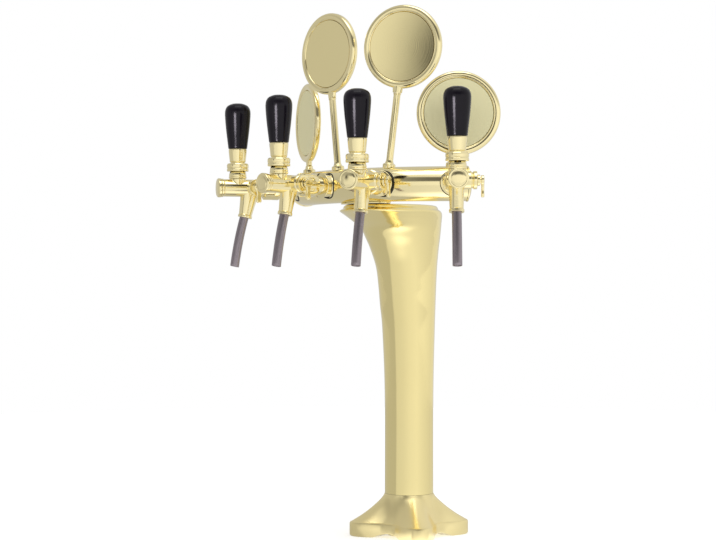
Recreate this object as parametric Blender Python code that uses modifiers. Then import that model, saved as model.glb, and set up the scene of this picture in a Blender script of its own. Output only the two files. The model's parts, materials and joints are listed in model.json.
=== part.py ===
"""Four-tap beer tower: a polished column on a four-cornered foot, a curved manifold on its hood, four taps
and four round medallion holders. Metres, +Z up, taps facing -Y, the origin under the column's axis."""

import math

import bmesh
import bpy
from mathutils import Matrix, Vector

# Clearances and cutting.
SEAT_GAP = 0.0003
RUNNING_GAP = 0.0005
OVERRUN = 0.004
MERGE_DISTANCE = 0.00001
FLAT_ANGLE = math.radians(0.5)

# Foot: a casting with four corners, arched between them.
FOOT_CORNER_REACH = 0.084
FOOT_SIDE_REACH = 0.052
FOOT_EDGE_HEIGHT = 0.020
FOOT_HEIGHT = 0.058
FOOT_EDGE_ROUND = 0.003
FOOT_ARCH_HEIGHT = 0.006
FOOT_ARCH_HALF_WIDTH = 0.022
FOOT_HUB_RADIUS = 0.030
FOOT_SPIGOT_HEIGHT = 0.060
LINE_HOLE_RADIUS = 0.0040
STUD_HOLE_RADIUS = 0.0042
STUD_HOLE_DEPTH = 0.014
STUD_HOLE_REACH = 0.062

# Column: a round shell that flares forward into a hood under the manifold.
COLUMN_RADIUS = 0.034
COLUMN_WALL = 0.0045
COLUMN_TOP = 0.4580
HOOD_HALF_WIDTH = 0.063
HOOD_REACH = 0.126
HOOD_BACK = 0.042
HOOD_PLATE = 0.005
PORT_SETBACK = 0.017
PORT_HALF_WIDTH = 0.0052
PORT_HALF_LENGTH = 0.0155

# Manifold: a tube bent to an arc about a point behind the column.
ARC_BACK = 0.087
ARC_RADIUS = 0.200
MANIFOLD_RADIUS = 0.023
MANIFOLD_WALL = 0.0016
MANIFOLD_HEIGHT = 0.483
MANIFOLD_HALF_ANGLE = math.radians(42.0)
ARC_STEPS = 14
TAP_SPACING = math.radians(24.5)
SADDLE_HALF_LENGTH = 0.040
SADDLE_HALF_WIDTH = 0.0170
SADDLE_SETBACK = 0.010
SADDLE_HEIGHT = 0.0095
END_CAP_RIM = 0.0025
END_CAP_DOME = 0.0045
END_CAP_SPIGOT = 0.0035
END_CAP_SPIGOT_SHARE = 0.93

# Shank: carries a tap on the manifold, with a boss that sits round the tube.
SHANK_RADIUS = 0.0109
SHANK_BORE_RADIUS = 0.0045
SHANK_SINK = 0.015
SHANK_INNER_REACH = ARC_RADIUS + MANIFOLD_RADIUS - SHANK_SINK
BOSS_RADIUS = 0.0150
BOSS_PROUD = 0.010
BOSS_FRONT_REACH = ARC_RADIUS + MANIFOLD_RADIUS + BOSS_PROUD
BOSS_LIP_RADIUS = 0.0172
BOSS_LIP_WIDTH = 0.004

# Tap body. Its frame has its origin on the barrel's axis, under the handle.
TAP_SETOUT = 0.070
TAP_REACH = BOSS_FRONT_REACH + TAP_SETOUT
BARREL_RADIUS = 0.012
BARREL_FRONT = 0.024
BARREL_REAR = 0.038
BARREL_BORE_RADIUS = 0.0076
BARREL_BORE_REAR = 0.0225
SEAT_BORE_RADIUS = 0.0048
REAR_FLANGE_RADIUS = 0.014
REAR_FLANGE_WIDTH = 0.003
NECK_RADIUS = 0.0115
NECK_HEIGHT = 0.013
NECK_BORE_RADIUS = 0.0083
FUNNEL_HALF_LENGTH = 0.0140
FUNNEL_HALF_WIDTH = 0.0105
FUNNEL_REAR_SHIFT = 0.0185
SOCKET_RADIUS = 0.0088
SOCKET_DROP = 0.037
SOCKET_LIP_RADIUS = 0.0098
SOCKET_LIP_HEIGHT = 0.0042
COMPENSATOR_SETBACK = 0.022
COMPENSATOR_BOSS_RADIUS = 0.0115
COMPENSATOR_BOSS_REACH = 0.0265
SPINDLE_RADIUS = 0.0045
SPINDLE_DEPTH = 0.015

# Spout: a thin tube that leans towards the glass.
SPOUT_LEAN = math.radians(12.0)
SPOUT_RADIUS = 0.00625
SPOUT_WALL = 0.0014
SPOUT_LENGTH = 0.082
SPOUT_TIP_DROP = 0.109
SPOUT_TIP_FORWARD = 0.0045
SPOUT_DUCT_RADIUS = 0.0046

# Front cap of the barrel.
CAP_RADIUS = 0.0132
CAP_WIDTH = 0.0045
CAP_DOME = 0.0012
CAP_SPIGOT_RADIUS = 0.0072
CAP_SPIGOT = 0.003

# Coupling nut.
NUT_RADIUS = 0.0160
NUT_FRONT_CHAMFER = 0.0015
NUT_LENGTH = 0.0205
NUT_NOTCHES = 6
NUT_NOTCH_RADIUS = 0.0028

# Handle: a ball-ended lever in a domed bonnet, with a collar that rocks over the dome.
PIVOT_HEIGHT = 0.017
BALL_RADIUS = 0.0077
ROCKING_GAP = 0.0009
DOME_RADIUS = 0.012
COLLAR_RADIUS = 0.015
COLLAR_BOTTOM = 0.006
COLLAR_TOP = 0.017
LEVER_STEM_RADIUS = 0.004
LEVER_SLOT_SIDE_GAP = 0.0004
LEVER_SLOT_BOTTOM = 0.0036
SLOT_REAR_SHARE = 0.62
FERRULE_LOW_RADIUS = 0.0112
FERRULE_RADIUS = 0.0126
FERRULE_TOP = 0.037
LEVER_ARM = 0.014
LEVER_ARM_RADIUS = 0.0019
LEVER_TIP_RADIUS = 0.0028
LEVER_STUD_RADIUS = 0.004
LEVER_STUD_HEIGHT = 0.020
KNOB_HEIGHT = 0.063
KNOB_LOW_RADIUS = 0.0132
KNOB_RADIUS = 0.0178
KNOB_WIDEST_HEIGHT = 0.049
KNOB_CROWN_RADIUS = 0.0085
KNOB_HOLE_DEPTH = 0.022

# Piston: slides in the barrel, with a groove that the lever's tip drives.
PISTON_RADIUS = 0.0071
PISTON_FRONT = 0.0155
PISTON_REAR = 0.010
PISTON_WAIST_RADIUS = 0.0045
PISTON_SEAL_WIDTH = 0.004
PISTON_SLOT_HALF_LENGTH = 0.0041
PISTON_SLOT_BOTTOM = 0.0012

# Compensator lever, on the end of its spindle.
SPINDLE_DISC_RADIUS = 0.0072
SPINDLE_DISC_WIDTH = 0.0035
PADDLE_DROP = 0.022
PADDLE_WIDTH = 0.0042
PADDLE_HALF_BREADTH = 0.0038
PADDLE_OFFSET = 0.0055

# Medallion holders.
MEDALLION_LEAN = math.radians(7.0)
MEDALLION_RADIUS = 0.0560
MEDALLION_DEPTH = 0.0085
MEDALLION_BAND = 0.0100
MEDALLION_BEAD = 0.0018
MEDALLION_RECESS = 0.003
FACE_THICKNESS = 0.0012
FACE_DISH = 0.0011
STEM_BOSS_RADIUS = 0.0068
STEM_BOSS_LENGTH = 0.006
LOW_STEM_LENGTH = 0.0090
HIGH_STEM_LENGTH = 0.0985
LOW_MEDALLION_HEIGHT = MEDALLION_RADIUS + STEM_BOSS_LENGTH + LOW_STEM_LENGTH
HIGH_MEDALLION_HEIGHT = MEDALLION_RADIUS + STEM_BOSS_LENGTH + HIGH_STEM_LENGTH
STEM_RADIUS = 0.0046
STEM_COLLAR_RADIUS = 0.0085
STEM_COLLAR_HEIGHT = 0.007
STEM_SPIGOT_RADIUS = 0.0038
STEM_SPIGOT_DEPTH = 0.008

# Insulated bundle of beer lines in the column.
BUNDLE_RADIUS = 0.020
BUNDLE_BOTTOM = FOOT_HEIGHT + FOOT_SPIGOT_HEIGHT + SEAT_GAP
BUNDLE_TOP = 0.380
LINE_RADIUS = 0.0032
LINE_TAIL = 0.040
LINE_SPREAD = 0.0115
PORT_LINE_PITCH = 0.0074

# Sides of the round pieces.
FOOT_SIDES = 40
ARCH_SIDES = 36
RING_SIDES = 24
TUBE_SIDES = 14
ROUND_SIDES = 12
PIN_SIDES = 8
SMALL_SIDES = 6
BALL_RINGS = 6

GOLD = ("polished_gold", (0.95, 0.80, 0.45, 1.0), 0.08, 1.0)
BLACK = ("black_grip", (0.015, 0.015, 0.018, 1.0), 0.25, 0.0)
STEEL = ("spout_steel", (0.62, 0.59, 0.60, 1.0), 0.22, 1.0)
INNER = ("valve_plastic", (0.80, 0.80, 0.78, 1.0), 0.45, 0.0)
FOAM = ("line_foam", (0.10, 0.10, 0.11, 1.0), 0.85, 0.0)

for startup_object in list(bpy.data.objects):
    bpy.data.objects.remove(startup_object)

tower = bpy.data.collections.new("beer_tower")
bpy.context.scene.collection.children.link(tower)
cutters = bpy.data.collections.new("cutters")
cutters.hide_render = True
bpy.context.scene.collection.children.link(cutters)


def make_material(name, colour, roughness, metallic):
    """A Principled material with one colour."""
    material = bpy.data.materials.new(name)
    material.use_nodes = True
    shader = material.node_tree.nodes["Principled BSDF"]
    shader.inputs["Base Color"].default_value = colour
    shader.inputs["Roughness"].default_value = roughness
    shader.inputs["Metallic"].default_value = metallic
    return material


def tool_from_bmesh(bm):
    """A hidden working object that holds the shape until it is used."""
    mesh = bpy.data.meshes.new("tool")
    bm.to_mesh(mesh)
    bm.free()
    return tool_from_mesh(mesh)


def tool_from_mesh(mesh):
    tool = bpy.data.objects.new("tool", mesh)
    tool.hide_render = True
    tool.display_type = "WIRE"
    cutters.objects.link(tool)
    return tool


def evaluated_mesh(tool):
    """The tool's mesh with its modifiers applied and its place in the mesh; the tool is then removed."""
    bpy.context.view_layer.update()
    graph = bpy.context.evaluated_depsgraph_get()
    mesh = bpy.data.meshes.new_from_object(tool.evaluated_get(graph))
    mesh.transform(tool.matrix_world)
    bpy.data.objects.remove(tool)
    bm = bmesh.new()
    bm.from_mesh(mesh)
    bmesh.ops.remove_doubles(bm, verts=bm.verts, dist=MERGE_DISTANCE)
    bm.to_mesh(mesh)
    bm.free()
    return mesh


def along(axis):
    """The turn that takes +Z to the named axis."""
    turns = {
        "Z": Matrix.Identity(4),
        "X": Matrix.Rotation(math.radians(90), 4, "Y"),
        "Y": Matrix.Rotation(math.radians(-90), 4, "X"),
        "-Y": Matrix.Rotation(math.radians(90), 4, "X"),
    }
    return turns[axis]


def cylinder(radius, start, end, axis="Z", centre=(0, 0, 0), sides=ROUND_SIDES):
    """A cylinder along an axis, from start to end on it, through centre, with a corner towards +X."""
    bm = bmesh.new()
    size = {"radius1": radius, "radius2": radius, "depth": end - start}
    bmesh.ops.create_cone(bm, cap_ends=True, segments=sides, **size)
    quarter_turn = Matrix.Rotation(math.radians(-90), 4, "Z")
    lift = Matrix.Translation((0, 0, (start + end) / 2))
    bm.transform(Matrix.Translation(centre) @ along(axis) @ lift @ quarter_turn)
    return tool_from_bmesh(bm)


def ball(radius, centre, sides=ROUND_SIDES, rings=BALL_RINGS):
    bm = bmesh.new()
    bmesh.ops.create_uvsphere(bm, u_segments=sides, v_segments=rings, radius=radius)
    bm.transform(Matrix.Translation(centre))
    return tool_from_bmesh(bm)


def block(low, high):
    bm = bmesh.new()
    bmesh.ops.create_cube(bm, size=1)
    size = Vector(high) - Vector(low)
    bm.transform(Matrix.Translation((Vector(low) + Vector(high)) / 2) @ Matrix.Diagonal((*size, 1)))
    return tool_from_bmesh(bm)


def turned(profile, sides=ROUND_SIDES, axis="Z"):
    """A profile of (radius, height) points, run down its outer side, turned about the axis."""
    mesh = bpy.data.meshes.new("profile")
    closed_loop = min(radius for radius, height in profile) > 0
    edges = [(i, i + 1) for i in range(len(profile) - 1)]
    if closed_loop:
        edges.append((len(profile) - 1, 0))
    mesh.from_pydata([(radius, 0, height) for radius, height in profile], edges, [])
    tool = tool_from_mesh(mesh)
    screw = tool.modifiers.new("turn", "SCREW")
    screw.angle = math.tau
    screw.steps = sides
    screw.render_steps = sides
    screw.use_merge_vertices = True
    screw.merge_threshold = MERGE_DISTANCE
    tool.matrix_world = along(axis)
    return tool_from_mesh(evaluated_mesh(tool))


def bent_tube(points, radius, sides=ROUND_SIDES):
    """A solid rod with filled ends along the points."""
    curve = bpy.data.curves.new("route", "CURVE")
    curve.dimensions = "3D"
    spline = curve.splines.new("POLY")
    spline.points.add(len(points) - 1)
    for control, point in zip(spline.points, points):
        control.co = (*point, 1)
    curve.bevel_depth = radius
    curve.bevel_resolution = sides // 2 - 2
    curve.use_fill_caps = True
    curve.twist_mode = "MINIMUM"
    tool = bpy.data.objects.new("tool", curve)
    tool.hide_render = True
    cutters.objects.link(tool)
    return tool_from_mesh(evaluated_mesh(tool))


def plate(outline, low, high):
    """A flat outline in X and Y, extruded from low to high."""
    curve = bpy.data.curves.new("outline", "CURVE")
    curve.dimensions = "2D"
    curve.fill_mode = "BOTH"
    curve.extrude = (high - low) / 2
    spline = curve.splines.new("POLY")
    spline.points.add(len(outline) - 1)
    for control, (x, y) in zip(spline.points, outline):
        control.co = (x, y, 0, 1)
    spline.use_cyclic_u = True
    tool = bpy.data.objects.new("tool", curve)
    tool.hide_render = True
    tool.location.z = (low + high) / 2
    cutters.objects.link(tool)
    return tool_from_mesh(evaluated_mesh(tool))


def lofted(sections):
    """A closed solid through rings of equal length, from the lowest ring up."""
    bm = bmesh.new()
    rings = [[bm.verts.new(point) for point in section] for section in sections]
    count = len(rings[0])
    for lower, upper in zip(rings, rings[1:]):
        for i in range(count):
            j = (i + 1) % count
            bm.faces.new((lower[i], lower[j], upper[j], upper[i]))
    bm.faces.new(reversed(rings[0]))
    bm.faces.new(rings[-1])
    bmesh.ops.recalc_face_normals(bm, faces=bm.faces)
    return tool_from_bmesh(bm)


def combine(tool, others, operation):
    """The tool with the others joined to it or cut from it, one after another."""
    for other in others:
        step = tool.modifiers.new("combine", "BOOLEAN")
        step.operation = operation
        step.solver = "EXACT"
        step.object = other
        mesh = evaluated_mesh(tool)
        bpy.data.objects.remove(other)
        tool = tool_from_mesh(mesh)
    return tool


def join(tool, *others):
    return combine(tool, others, "UNION")


def cut(tool, *others):
    return combine(tool, others, "DIFFERENCE")


def finished(tool):
    """The tool's mesh, flat faces made whole, shaded smooth with sharp edges kept; the tool is removed."""
    mesh = evaluated_mesh(tool)
    bm = bmesh.new()
    bm.from_mesh(mesh)
    bmesh.ops.dissolve_limit(bm, angle_limit=FLAT_ANGLE, verts=bm.verts, edges=bm.edges)
    bmesh.ops.triangulate(bm, faces=bm.faces)
    bm.to_mesh(mesh)
    bm.free()
    mesh.shade_smooth()
    mesh.set_sharp_from_angle(angle=math.radians(35))
    return mesh


materials = {look[0]: make_material(*look) for look in (GOLD, BLACK, STEEL, INNER, FOAM)}


def place(name, mesh, look, parent=None, location=(0, 0, 0), turn=None):
    """One named object of the tower."""
    if not mesh.materials:
        mesh.materials.append(materials[look[0]])
    piece = bpy.data.objects.new(name, mesh)
    piece.parent = parent
    piece.location = location
    if turn is not None:
        piece.rotation_euler = turn
    tower.objects.link(piece)
    return piece


def frame(name, parent=None, location=(0, 0, 0), turn=(0, 0, 0)):
    """An empty that carries pieces."""
    empty = bpy.data.objects.new(name, None)
    empty.parent = parent
    empty.location = location
    empty.rotation_euler = turn
    tower.objects.link(empty)
    return empty


def circle_angles(sides):
    return [math.tau * i / sides for i in range(sides)]


def arc_point(angle, radius=ARC_RADIUS, rise=0):
    """A point of the manifold's arc in the tower's frame; angle 0 is straight ahead of the column."""
    return (radius * math.sin(angle), ARC_BACK - radius * math.cos(angle), MANIFOLD_HEIGHT + rise)


def arc_rod(half_angle, radius, sides=TUBE_SIDES):
    """A rod bent to the manifold's arc."""
    angles = [half_angle * (2 * i / ARC_STEPS - 1) for i in range(ARC_STEPS + 1)]
    return bent_tube([arc_point(angle) for angle in angles], radius, sides)


def tube_cutter(angle):
    """The manifold's outside with a seat gap, as seen from the frame of the arc's centre turned by angle."""
    cutter = arc_rod(MANIFOLD_HALF_ANGLE, MANIFOLD_RADIUS + SEAT_GAP)
    station = Matrix.Translation((0, ARC_BACK, MANIFOLD_HEIGHT)) @ Matrix.Rotation(angle, 4, "Z")
    cutter.matrix_world = station.inverted()
    return cutter


def foot_section(height, corner, side):
    """A four-cornered ring: its reach runs from side, at the middles, to corner, on the diagonals."""
    ring = []
    for angle in circle_angles(FOOT_SIDES):
        reach = side + (corner - side) * abs(math.sin(2 * angle)) ** 3
        ring.append((reach * math.cos(angle), reach * math.sin(angle), height))
    return ring


def line_places():
    """Where the four lines stand in the foot and the column: a square about the column's axis."""
    half = LINE_SPREAD / 2
    return [(x, y) for x in (-half, half) for y in (-half, half)]


def make_foot():
    """A casting that rises from a concave-sided square to the round column, on four corner pads."""
    slope_shares = [(0.0, 0.0), (0.22, 0.30), (0.45, 0.56), (0.68, 0.78), (0.86, 0.925), (1.0, 1.0)]
    sections = [foot_section(0, FOOT_CORNER_REACH, FOOT_SIDE_REACH)]
    edge_top = FOOT_EDGE_HEIGHT - FOOT_EDGE_ROUND
    sections.append(foot_section(edge_top, FOOT_CORNER_REACH, FOOT_SIDE_REACH))
    slope_corner = FOOT_CORNER_REACH - FOOT_EDGE_ROUND
    slope_side = FOOT_SIDE_REACH - FOOT_EDGE_ROUND
    for height_share, reach_share in slope_shares:
        height = FOOT_EDGE_HEIGHT + height_share * (FOOT_HEIGHT - FOOT_EDGE_HEIGHT)
        corner = slope_corner + reach_share * (COLUMN_RADIUS - slope_corner)
        side = slope_side + min(1.0, 1.35 * reach_share) * (COLUMN_RADIUS - slope_side)
        sections.append(foot_section(height, corner, side))
    foot = lofted(sections)
    spigot_radius = COLUMN_RADIUS - COLUMN_WALL - SEAT_GAP
    top = FOOT_HEIGHT + FOOT_SPIGOT_HEIGHT
    foot = join(foot, cylinder(spigot_radius, FOOT_EDGE_HEIGHT, top, sides=RING_SIDES))
    arch_radius = (FOOT_ARCH_HALF_WIDTH**2 + FOOT_ARCH_HEIGHT**2) / (2 * FOOT_ARCH_HEIGHT)
    arch_centre = (0, 0, FOOT_ARCH_HEIGHT - arch_radius)
    reach = FOOT_CORNER_REACH + OVERRUN
    arches = []
    for axis in ("X", "Y"):
        arch = cylinder(arch_radius, -reach, reach, axis, sides=ARCH_SIDES)
        half_facet = Matrix.Rotation(math.pi / ARCH_SIDES, 4, axis)
        arch.matrix_world = Matrix.Translation(arch_centre) @ half_facet
        arches.append(arch)
    hub = cylinder(FOOT_HUB_RADIUS, -FOOT_HEIGHT, FOOT_HEIGHT, sides=TUBE_SIDES)
    arch = cut(join(*arches), hub)
    line_holes = []
    for x, y in line_places():
        hole = cylinder(LINE_HOLE_RADIUS, -OVERRUN, top + OVERRUN, "Z", (x, y, 0), sides=SMALL_SIDES)
        line_holes.append(hole)
    studs = []
    for quarter in range(4):
        angle = math.radians(45 + 90 * quarter)
        centre = (STUD_HOLE_REACH * math.cos(angle), STUD_HOLE_REACH * math.sin(angle), 0)
        studs.append(cylinder(STUD_HOLE_RADIUS, -OVERRUN, STUD_HOLE_DEPTH, "Z", centre, sides=SMALL_SIDES))
    return finished(cut(foot, arch, *line_holes, *studs))


# Shares of the height above the foot, and of the flare at the sides, at the front and at the back.
COLUMN_FLARE_SHARES = [
    (0.0, 0.0, 0.0, 0.0),
    (0.35, 0.0, 0.0, 0.0),
    (0.577, 0.088, 0.044, 0.19),
    (0.664, 0.154, 0.093, 0.27),
    (0.73, 0.20, 0.126, 0.38),
    (0.80, 0.27, 0.181, 0.54),
    (0.863, 0.414, 0.307, 0.75),
    (0.90, 0.53, 0.406, 0.92),
    (0.933, 0.64, 0.51, 1.0),
    (0.96, 0.795, 0.725, 1.0),
    (0.9776, 0.925, 0.88, 0.90),
    (0.991, 1.0, 1.0, 0.50),
    (1.0, 0.885, 0.93, -0.3),
]


def column_section(height, flare, inset):
    """An oval ring of the column, taken in by inset."""
    side_share, front_share, back_share = flare
    half_width = COLUMN_RADIUS + side_share * (HOOD_HALF_WIDTH - COLUMN_RADIUS) - inset
    front = COLUMN_RADIUS + front_share * (HOOD_REACH - COLUMN_RADIUS) - inset
    back = COLUMN_RADIUS + back_share * (HOOD_BACK - COLUMN_RADIUS) - inset
    middle, half_depth = (back - front) / 2, (back + front) / 2
    ring = []
    for angle in circle_angles(RING_SIDES):
        ring.append((half_width * math.cos(angle), middle + half_depth * math.sin(angle), height))
    return ring


def port_slot(low, high):
    """The cutter for the slot through which the four lines pass side by side into the manifold."""
    centre_y = ARC_BACK - ARC_RADIUS + PORT_SETBACK
    front, back = centre_y - PORT_HALF_WIDTH, centre_y + PORT_HALF_WIDTH
    return block((-PORT_HALF_LENGTH, front, low), (PORT_HALF_LENGTH, back, high))


def make_column():
    """A shell with a hood that reaches forward, closed on top by a plate with a port for the lines."""
    bottom = FOOT_HEIGHT + SEAT_GAP
    rise = COLUMN_TOP - bottom
    outer, inner = [], []
    for height_share, *flare in COLUMN_FLARE_SHARES:
        outer.append(column_section(bottom + height_share * rise, flare, 0))
    for height_share, *flare in COLUMN_FLARE_SHARES[:-2:2]:
        inner.append(column_section(bottom + height_share * rise, flare, COLUMN_WALL))
    inner.insert(0, column_section(bottom - OVERRUN, COLUMN_FLARE_SHARES[0][1:], COLUMN_WALL))
    inner.append(column_section(COLUMN_TOP - HOOD_PLATE, COLUMN_FLARE_SHARES[-3][1:], COLUMN_WALL))
    shell = cut(lofted(outer), lofted(inner))
    return finished(cut(shell, port_slot(COLUMN_TOP - HOOD_PLATE - OVERRUN, COLUMN_TOP + OVERRUN)))


def make_saddle():
    """A cradle between the hood's top and the manifold, with the port through it."""
    bottom = COLUMN_TOP + SEAT_GAP
    centre_y = ARC_BACK - ARC_RADIUS + SADDLE_SETBACK
    outline = []
    for angle in circle_angles(RING_SIDES):
        outline.append((SADDLE_HALF_LENGTH * math.cos(angle), centre_y + SADDLE_HALF_WIDTH * math.sin(angle)))
    saddle = plate(outline, bottom, bottom + SADDLE_HEIGHT)
    seat = arc_rod(MANIFOLD_HALF_ANGLE, MANIFOLD_RADIUS + SEAT_GAP)
    return finished(cut(saddle, seat, port_slot(bottom - OVERRUN, MANIFOLD_HEIGHT)))


def tap_angles():
    """The turn of each tap station about the arc's centre, from the left one to the right one."""
    return [TAP_SPACING * (place_number - 1.5) for place_number in range(4)]


def make_manifold():
    """The bent tube, with a hole for each shank and each medallion stem, and the port underneath."""
    tube = arc_rod(MANIFOLD_HALF_ANGLE, MANIFOLD_RADIUS)
    past_the_ends = MANIFOLD_HALF_ANGLE + OVERRUN / ARC_RADIUS
    tube = cut(tube, arc_rod(past_the_ends, MANIFOLD_RADIUS - MANIFOLD_WALL, ROUND_SIDES))
    past_the_wall = MANIFOLD_RADIUS + OVERRUN
    for angle in tap_angles():
        hole = cylinder(SHANK_RADIUS + SEAT_GAP, ARC_RADIUS, ARC_RADIUS + past_the_wall, "-Y")
        arc_centre = Matrix.Translation((0, ARC_BACK, MANIFOLD_HEIGHT))
        hole.matrix_world = arc_centre @ Matrix.Rotation(angle, 4, "Z")
        stem_hole_radius = STEM_SPIGOT_RADIUS + 2 * SEAT_GAP
        stem_hole = cylinder(stem_hole_radius, 0, past_the_wall, "Z", arc_point(angle), sides=SMALL_SIDES)
        tube = cut(tube, hole, stem_hole)
    return finished(cut(tube, port_slot(MANIFOLD_HEIGHT - MANIFOLD_RADIUS - OVERRUN, MANIFOLD_HEIGHT)))


def make_end_cap():
    """A domed cap with a spigot that fits the tube's bore; its frame's +Z points out of the tube."""
    spigot_radius = END_CAP_SPIGOT_SHARE * (MANIFOLD_RADIUS - MANIFOLD_WALL)
    outer = MANIFOLD_RADIUS + MANIFOLD_WALL / 2
    profile = [
        (0, END_CAP_RIM + END_CAP_DOME),
        (0.45 * outer, END_CAP_RIM + 0.86 * END_CAP_DOME),
        (0.80 * outer, END_CAP_RIM + 0.45 * END_CAP_DOME),
        (outer, END_CAP_RIM),
        (outer, SEAT_GAP),
        (spigot_radius, SEAT_GAP),
        (spigot_radius, -END_CAP_SPIGOT),
        (0, -END_CAP_SPIGOT),
    ]
    return finished(turned(profile, sides=ROUND_SIDES))


def make_shank(angle):
    """The threaded shank with its boss, in the frame of the arc's centre turned to the tap at angle."""
    front = TAP_REACH - BARREL_REAR - REAR_FLANGE_WIDTH - SEAT_GAP
    lip_back = BOSS_FRONT_REACH - BOSS_LIP_WIDTH
    boss = turned(
        [
            (0, BOSS_FRONT_REACH),
            (0.8 * BOSS_RADIUS, BOSS_FRONT_REACH),
            (BOSS_LIP_RADIUS, BOSS_FRONT_REACH - 0.4 * BOSS_LIP_WIDTH),
            (BOSS_LIP_RADIUS, lip_back + 0.2 * BOSS_LIP_WIDTH),
            (BOSS_RADIUS, lip_back),
            (BOSS_RADIUS, SHANK_INNER_REACH),
            (0, SHANK_INNER_REACH),
        ],
        sides=ROUND_SIDES,
        axis="-Y",
    )
    boss = cut(boss, tube_cutter(angle))
    shank = join(boss, cylinder(SHANK_RADIUS, SHANK_INNER_REACH, front, "-Y"))
    bore = cylinder(SHANK_BORE_RADIUS, SHANK_INNER_REACH - OVERRUN, front + OVERRUN, "-Y", sides=SMALL_SIDES)
    return finished(cut(shank, bore))


def make_nut():
    """A round nut with spanner notches that draws the tap's rear flange onto the shank."""
    flange_front = BARREL_REAR
    flange_back = BARREL_REAR + REAR_FLANGE_WIDTH
    front, back = flange_front - 2 * SEAT_GAP - NUT_FRONT_CHAMFER, flange_front + NUT_LENGTH
    hook_radius = BARREL_RADIUS + SEAT_GAP
    recess_radius = REAR_FLANGE_RADIUS + SEAT_GAP
    thread_radius = SHANK_RADIUS + SEAT_GAP
    profile = [
        (hook_radius, flange_front - SEAT_GAP),
        (hook_radius, front),
        (NUT_RADIUS - NUT_FRONT_CHAMFER, front),
        (NUT_RADIUS, front + NUT_FRONT_CHAMFER),
        (NUT_RADIUS, back),
        (thread_radius, back),
        (thread_radius, flange_back + SEAT_GAP),
        (recess_radius, flange_back + SEAT_GAP),
        (recess_radius, flange_front - SEAT_GAP),
    ]
    nut = turned([(radius, -height) for radius, height in profile], sides=ROUND_SIDES, axis="-Y")
    notches = []
    for number in range(NUT_NOTCHES):
        angle = math.tau * (number + 0.5) / NUT_NOTCHES
        reach = NUT_RADIUS + 0.3 * NUT_NOTCH_RADIUS
        centre = (reach * math.cos(angle), 0, reach * math.sin(angle))
        notches.append(
            cylinder(NUT_NOTCH_RADIUS, front - OVERRUN, back - NUT_LENGTH / 3, "Y", centre, sides=SMALL_SIDES)
        )
    return finished(cut(nut, *notches))


def funnel_section(height, share):
    """A ring of the funnel: share 0 is at the barrel's axis and 1 at the socket."""
    half_length = FUNNEL_HALF_LENGTH + share * (SOCKET_RADIUS - FUNNEL_HALF_LENGTH)
    half_width = FUNNEL_HALF_WIDTH + share * (SOCKET_RADIUS - FUNNEL_HALF_WIDTH)
    centre_y = spout_axis_y(height) + (1 - share) * (FUNNEL_REAR_SHIFT - spout_axis_y(0))
    return [
        (half_width * math.cos(a), centre_y + half_length * math.sin(a), height)
        for a in circle_angles(ROUND_SIDES)
    ]


def spout_axis_y(height):
    """How far behind the handle the spout's axis is at a height below the barrel."""
    return -SPOUT_TIP_FORWARD + (height + SPOUT_TIP_DROP) * math.tan(SPOUT_LEAN)


def spout_frame(height):
    """The frame of a piece on the spout's axis, with +Z up the axis."""
    return Matrix.Translation((0, spout_axis_y(height), height)) @ Matrix.Rotation(-SPOUT_LEAN, 4, "X")


def make_tap_body():
    """Barrel, handle neck, compensator boss and the funnel down to the spout's socket."""
    body = cylinder(BARREL_RADIUS, -BARREL_FRONT, BARREL_REAR + REAR_FLANGE_WIDTH, "Y", sides=ROUND_SIDES)
    flange = cylinder(REAR_FLANGE_RADIUS, BARREL_REAR, BARREL_REAR + REAR_FLANGE_WIDTH, "Y")
    neck = cylinder(NECK_RADIUS, 0, NECK_HEIGHT)
    boss = cylinder(
        COMPENSATOR_BOSS_RADIUS, 0, COMPENSATOR_BOSS_REACH, "X", (0, COMPENSATOR_SETBACK, 0)
    )
    shares = [0.0, 0.4, 1.0]
    funnel = lofted([funnel_section(-share * SOCKET_DROP, share) for share in reversed(shares)])
    lip = cylinder(SOCKET_LIP_RADIUS, -SOCKET_LIP_HEIGHT, SOCKET_LIP_HEIGHT / 4)
    lip.matrix_world = spout_frame(-SOCKET_DROP)
    body = join(body, flange, neck, boss, funnel, lip)
    bore = cylinder(BARREL_BORE_RADIUS, -BARREL_FRONT - OVERRUN, BARREL_BORE_REAR, "Y")
    passage = cylinder(
        SEAT_BORE_RADIUS, 0, BARREL_REAR + REAR_FLANGE_WIDTH + OVERRUN, "Y", sides=SMALL_SIDES
    )
    neck_bore = cylinder(NECK_BORE_RADIUS, 0, NECK_HEIGHT + OVERRUN)
    spindle_bore = cylinder(
        SPINDLE_RADIUS + RUNNING_GAP,
        COMPENSATOR_BOSS_REACH - SPINDLE_DEPTH - RUNNING_GAP,
        COMPENSATOR_BOSS_REACH + OVERRUN,
        "X",
        (0, COMPENSATOR_SETBACK, 0),
        sides=PIN_SIDES,
    )
    socket_bore = cylinder(SPOUT_RADIUS + SEAT_GAP, -OVERRUN, SPOUT_LENGTH + SEAT_GAP)
    socket_bore.matrix_world = spout_frame(-SPOUT_TIP_DROP)
    duct = cylinder(SPOUT_DUCT_RADIUS, 0, SPOUT_TIP_DROP - BARREL_BORE_RADIUS / 2, sides=SMALL_SIDES)
    duct.matrix_world = spout_frame(-SPOUT_TIP_DROP)
    return finished(cut(body, bore, passage, neck_bore, spindle_bore, socket_bore, duct))


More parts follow.
